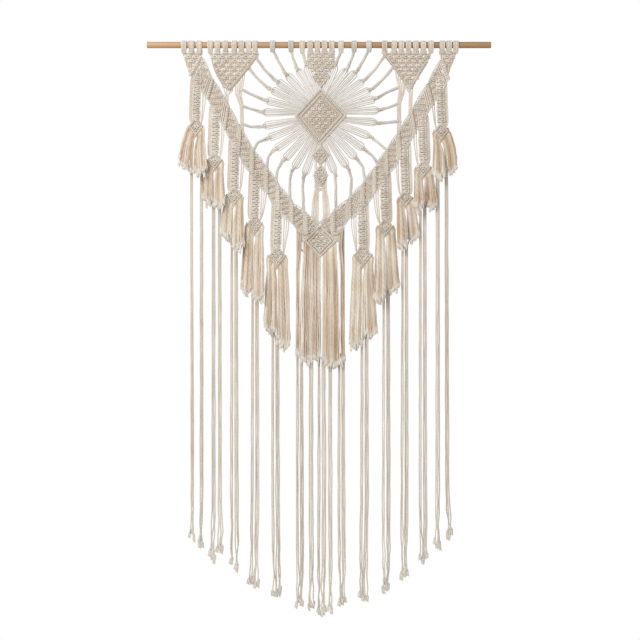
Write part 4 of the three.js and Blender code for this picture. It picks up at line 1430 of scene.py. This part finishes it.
def tassel(node, diamond_at, layers, lanes=13, slit=3.5 * MM, outer_top=None):
    """Two lobes of cut cord that leave the lower edges of a diamond one by one.

    Each layer is (depth, paleness). With an outer_top, the cords that hang beyond the diamond start at that
    height, and without one every cord leaves the diamond.
    """
    low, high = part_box(node)
    x0, foot_z, half_w, half_h = diamond_at
    hank, ends = Hank(), Places()
    lobes = [lobe_levels(node, pick, high.z - 16 * MM, low.z + 3 * MM) for pick in (0, 1)]
    for pick, depth_share, pale in [(pick, *layer) for pick in (0, 1) for layer in layers]:
        away, lowest = 2 * pick - 1, lobes[pick][-1].z
        phase = rng.uniform(0, 6)
        for lane in range(lanes):
            share = max(-1, min(1, -1 + 2 * (lane + rng.uniform(-0.3, 0.3)) / (lanes - 1)))
            x_end = in_lobe(lobes, pick, share, slit, lowest)[0]
            feet = [s.low for s in cut(node, 0, x_end) if s.low < lowest + 40 * MM]
            foot = (min(feet) if feet else low.z) + rng.uniform(14, 24) * MM + 14 * MM * share * share
            hang_x = in_lobe(lobes, pick, share, slit, foot_z)[0]
            beyond = abs(hang_x - x0) - half_w
            if outer_top is None:
                across = (share + away) / 2
                start = (x0 + across * (half_w - 1 * MM), foot_z + abs(across) * half_h)
                first = (start[0] + away * 4.5 * MM, start[1] - 1.5 * MM)
                swing = 0
            else:
                if -1 * MM < beyond < 6 * MM:
                    continue
                if beyond > 4 * MM:
                    start = (hang_x, outer_top)
                    first = (hang_x, outer_top - 10 * MM)
                else:
                    start = (hang_x, foot_z + abs(hang_x - x0) / half_w * half_h)
                    first = (hang_x + away * 0.6 * MM, start[1] - 4 * MM)
                past = beyond - 2.5 * MM
                swing = math.copysign(3.4 * MM * max(0, 1 - abs(past) / (18 * MM)), past)
            path = [(start[0], 0.5 * MM, start[1] + 3 * MM), (first[0], -depth_share * 3.2 * MM, first[1])]
            slack = [0, 0]
            for z in np.arange(first[1] - 12 * MM, foot, -14 * MM):
                x, front, back = in_lobe(lobes, pick, share, slit, z)
                x -= away * swing * max(0, min(1, (foot_z - 40 * MM - z) / (110 * MM)))
                round_depth = math.sqrt(max(0.05, 1 - share * share))
                y = (front + back) / 2 - depth_share * ((back - front) / 2 - CORD) * round_depth
                fallen = first[1] - z
                path.append((first[0] + (x - first[0]) * min(1, fallen / (34 * MM)), y, z))
                slack.append(min(1, fallen / (90 * MM)))
            # painted shade: neighbouring strands darken together in a slow wave across the lobe, standing in
            # for the shade on recessed ones, on top of each strand's own random tone; the tufts follow their
            # strand
            wave = 0.5 + 0.5 * math.sin(phase + lane * 0.9)
            shade = max(-0.2, min(1, pale + 0.95 * (wave - 0.4) + rng.uniform(-0.3, 0.3)))
            hank.lay(path, STRAND, slack=slack, shade=shade)
            x, y, z = path[-1]
            ends.mark(x, y, z + 2 * MM, size=(1, 0.8, rng.uniform(0.7, 1.1)), shade=0.4 + 0.6 * shade)
    cords = hank.piece(node + "_cords", CUT, step=13 * MM, sides=5, sway=5 * MM, sway_scale=12.0)
    return settle([cords, ends.piece(node + "_ends", TUFT, FRAY, uneven=0.15)], node)


def hanging_edges(node):
    """Middle, foot, half width and half height of the diamond at the foot of a node."""
    low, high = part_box(node)
    levels = np.arange(low.z + 4 * MM, low.z + 50 * MM, 1 * MM)
    widest = max(levels, key=lambda z: span_at(node, 2, z).high - span_at(node, 2, z).low)
    return (low.x + high.x) / 2, low.z, (high.x - low.x) / 2, widest - low.z


Slit = namedtuple("Slit", "low high foot")
TOOTH_LEVEL = -1.12  # every tooth of the long fringe is whole and apart here
BUNDLES = (  # how wide a tooth is at most, and how its strands share its width
    (13 * MM, (-1, 0, 1)),
    (19 * MM, (-1, -0.45, 0.2, 1)),
    (math.inf, (-1, -0.55, 0.2, 0.6, 1)),
)


def slits_of(*nodes):
    """Where the two lobes of each tassel part, so that nothing is led down behind the opening."""
    found = []
    for node in nodes:
        low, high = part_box(node)
        spans = cut(node, 2, (low.z + high.z) / 2)
        if len(spans) == 2:
            found.append(Slit(spans[0].high - 5 * MM, spans[1].low + 5 * MM, low.z + 40 * MM))
    return found


def followed(node, tooth, start, stop, step, growth):
    """A tooth's spans from a height on, for as long as it keeps its line and about its width."""
    rows, span = [], tooth
    for z in np.arange(start, stop, step):
        found = span_at(node, 2, z, near=middle(span))
        if found is None or found.high - found.low > (tooth.high - tooth.low) * growth:
            break
        if not found.low - 4 * MM < middle(span) < found.high + 4 * MM:
            break
        span = found
        rows.append((z, found))
    return rows


def long_strands(side):
    """The comb of long strands behind the band: each tooth is a bundle of cords side by side."""
    node = f"long_fringe_{side}"
    low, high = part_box(node)
    slits = slits_of("centre_fringe", *(f"tassel_{side}_{number}" for number in NUMBERS))
    fringe_low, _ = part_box("centre_fringe")
    point_low, point_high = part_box("point_diamond")
    for edge, out in ((point_low.x, -1), (point_high.x, 1)):
        slits.append(Slit(*sorted((edge - out * 3 * MM, edge + out * 13 * MM)), fringe_low.z + 40 * MM))
    drops = [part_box(f"drop_{side}_{number}") for number in NUMBERS]
    hank, ends = Hank(), Places()
    for tooth in cut(node, 2, TOOTH_LEVEL):
        rows = followed(node, tooth, TOOTH_LEVEL + 20 * MM, high.z, 20 * MM, 1.25)[::-1]
        rows += [(TOOTH_LEVEL, tooth)] + followed(node, tooth, TOOTH_LEVEL - 20 * MM, low.z, -20 * MM, 1.15)
        for d_low, d_high in drops:
            if d_low.x - 3 * MM < middle(tooth) < d_high.x + 3 * MM:
                rows = [row for row in rows if row[0] < d_low.z + 20 * MM]
        (top_z, neck), (_, tip) = rows[0], rows[-1]
        foot = [s.low for s in cut(node, 0, middle(tip)) if s.low < TOOTH_LEVEL][0]
        width = tooth.high - tooth.low
        for share in next(shares for most, shares in BUNDLES if width < most):
            end = foot + rng.uniform(8, 30) * MM
            path, slack, wander = [(middle(neck) + share * 4 * MM, 6.6 * MM, top_z + 14 * MM)], [0], 0.0
            for z, s in rows:
                if z < end + 6 * MM:
                    break
                low_down = max(0, 1 - (z - foot) / (150 * MM))
                wander = 0.7 * wander + rng.uniform(-1, 1) * low_down * 4.6 * MM
                room = ((s.high - s.low) / 2 - STRAND) * (1 - 0.3 * low_down)
                y = (s.front + s.back) / 2 if s.back - s.front > 3 * MM else 6.4 * MM
                x = middle(s) + share * room + wander
                for slit in slits:
                    if slit.foot < z and slit.low < x < slit.high:
                        x = slit.low if x - slit.low < slit.high - x else slit.high
                path.append((x, y + rng.uniform(-0.3, 0.3) * MM, z))
                slack.append(min(1.0, 0.25 + 0.75 * max(0, (top_z - z) / 0.5)) * (1 - low_down))
            x = middle(tip) + share * (tip.high - tip.low) * 0.3 + wander * 0.6 + share * 2 * MM
            y = path[-1][1]
            path += [(x - share * 1 * MM, y, end + 8 * MM), (x, y, end)]
            shade = rng.random()
            hank.lay(path, STRAND, slack=slack + [0, 0], shade=shade)
            ends.mark(x, y, end + 2 * MM, size=(1.45, 0.6, rng.uniform(0.8, 1.2)), shade=shade)
    cords = hank.piece(f"long_strands_{side}", HANGING, step=11 * MM, sides=5, sway=3.4 * MM, sway_scale=13.0)
    return settle([cords, ends.piece(f"strand_ends_{side}", TUFT, FRAY, uneven=0.2)], node)


def side_cords(side):
    """The loose cords that leave a triangle and part into two bundles."""
    node = f"side_cords_{side}"
    low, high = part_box(node)
    hank = Hank()
    for pick in (0, 1):
        rows = []
        for z in np.arange(high.z - 26 * MM, low.z, -8 * MM):
            spans = cut(node, 2, z)
            if len(spans) == 2:
                rows.append((z, spans[pick]))
            elif len(spans) == 1 and rows and abs(middle(spans[0]) - middle(rows[-1][1])) < 8 * MM:
                rows.append((z, spans[0]))
        if len(rows) < 3:
            continue
        count = 5 if pick == (1 if side == "left" else 0) else 4
        for k in range(count):
            share = -1 + 2 * k / (count - 1)
            leave = middle(rows[0][1]) + (share * 11 + INWARD[side] * 4) * MM
            edge = span_at(f"triangle_{side}", 0, leave)
            top = edge.low + 3 * MM if edge else high.z + 2 * MM
            path = [(leave, 0, top), (leave, 0, top - 7 * MM)]
            for z, s in rows:
                room = (s.high - s.low) / 2 - STRAND
                path.append((middle(s) + share * room, rng.uniform(-0.4, 0.4) * MM, z))
            path.append((path[-1][0], 0, path[-1][2] - 8 * MM))
            hank.lay(path, STRAND, slack=0.6)
    settle([hank.piece(f"side_loose_{side}", CREAM, step=8 * MM, sway=2.5 * MM)], node)


# ---------------------------------------------------------------- the curtain

stage_scene()
dowel()
for side in SIDES:
    hung_section(f"corner_{side}", 1.0 * MM)
    hung_section(f"triangle_{side}", 1.7 * MM)
crown()
sun()
for side in SIDES:
    spokes(side)
    side_cords(side)
centre_drop()
point()
hung = {side: [] for side in SIDES}  # what the bands carry
for side in SIDES:
    for number, pale in zip(NUMBERS, PALENESS):
        hung[side] += drop(side, number)
        # painted shade: the back layer of each tassel is given a lower paleness than the front one
        hung[side] += tassel(f"tassel_{side}_{number}", hanging_edges(f"drop_{side}_{number}"),
                             layers=((0.8, pale), (-0.75, pale - 0.25)), slit=0.5 * MM)
    hung[side] += long_strands(side)
# painted shade: the middle and back layers of the fringe are given a lower paleness than the front one
hung["left"] += tassel("centre_fringe", hanging_edges("point_diamond"), lanes=20,
                       layers=((0.85, 0.45), (0.0, 0.2), (-0.8, 0.2)), outer_top=-463 * MM)
for side in SIDES:
    band(side)

for shape in (SQUARE_KNOT, WRAP_SHAPE, TUFT):
    bpy.data.objects.remove(shape)
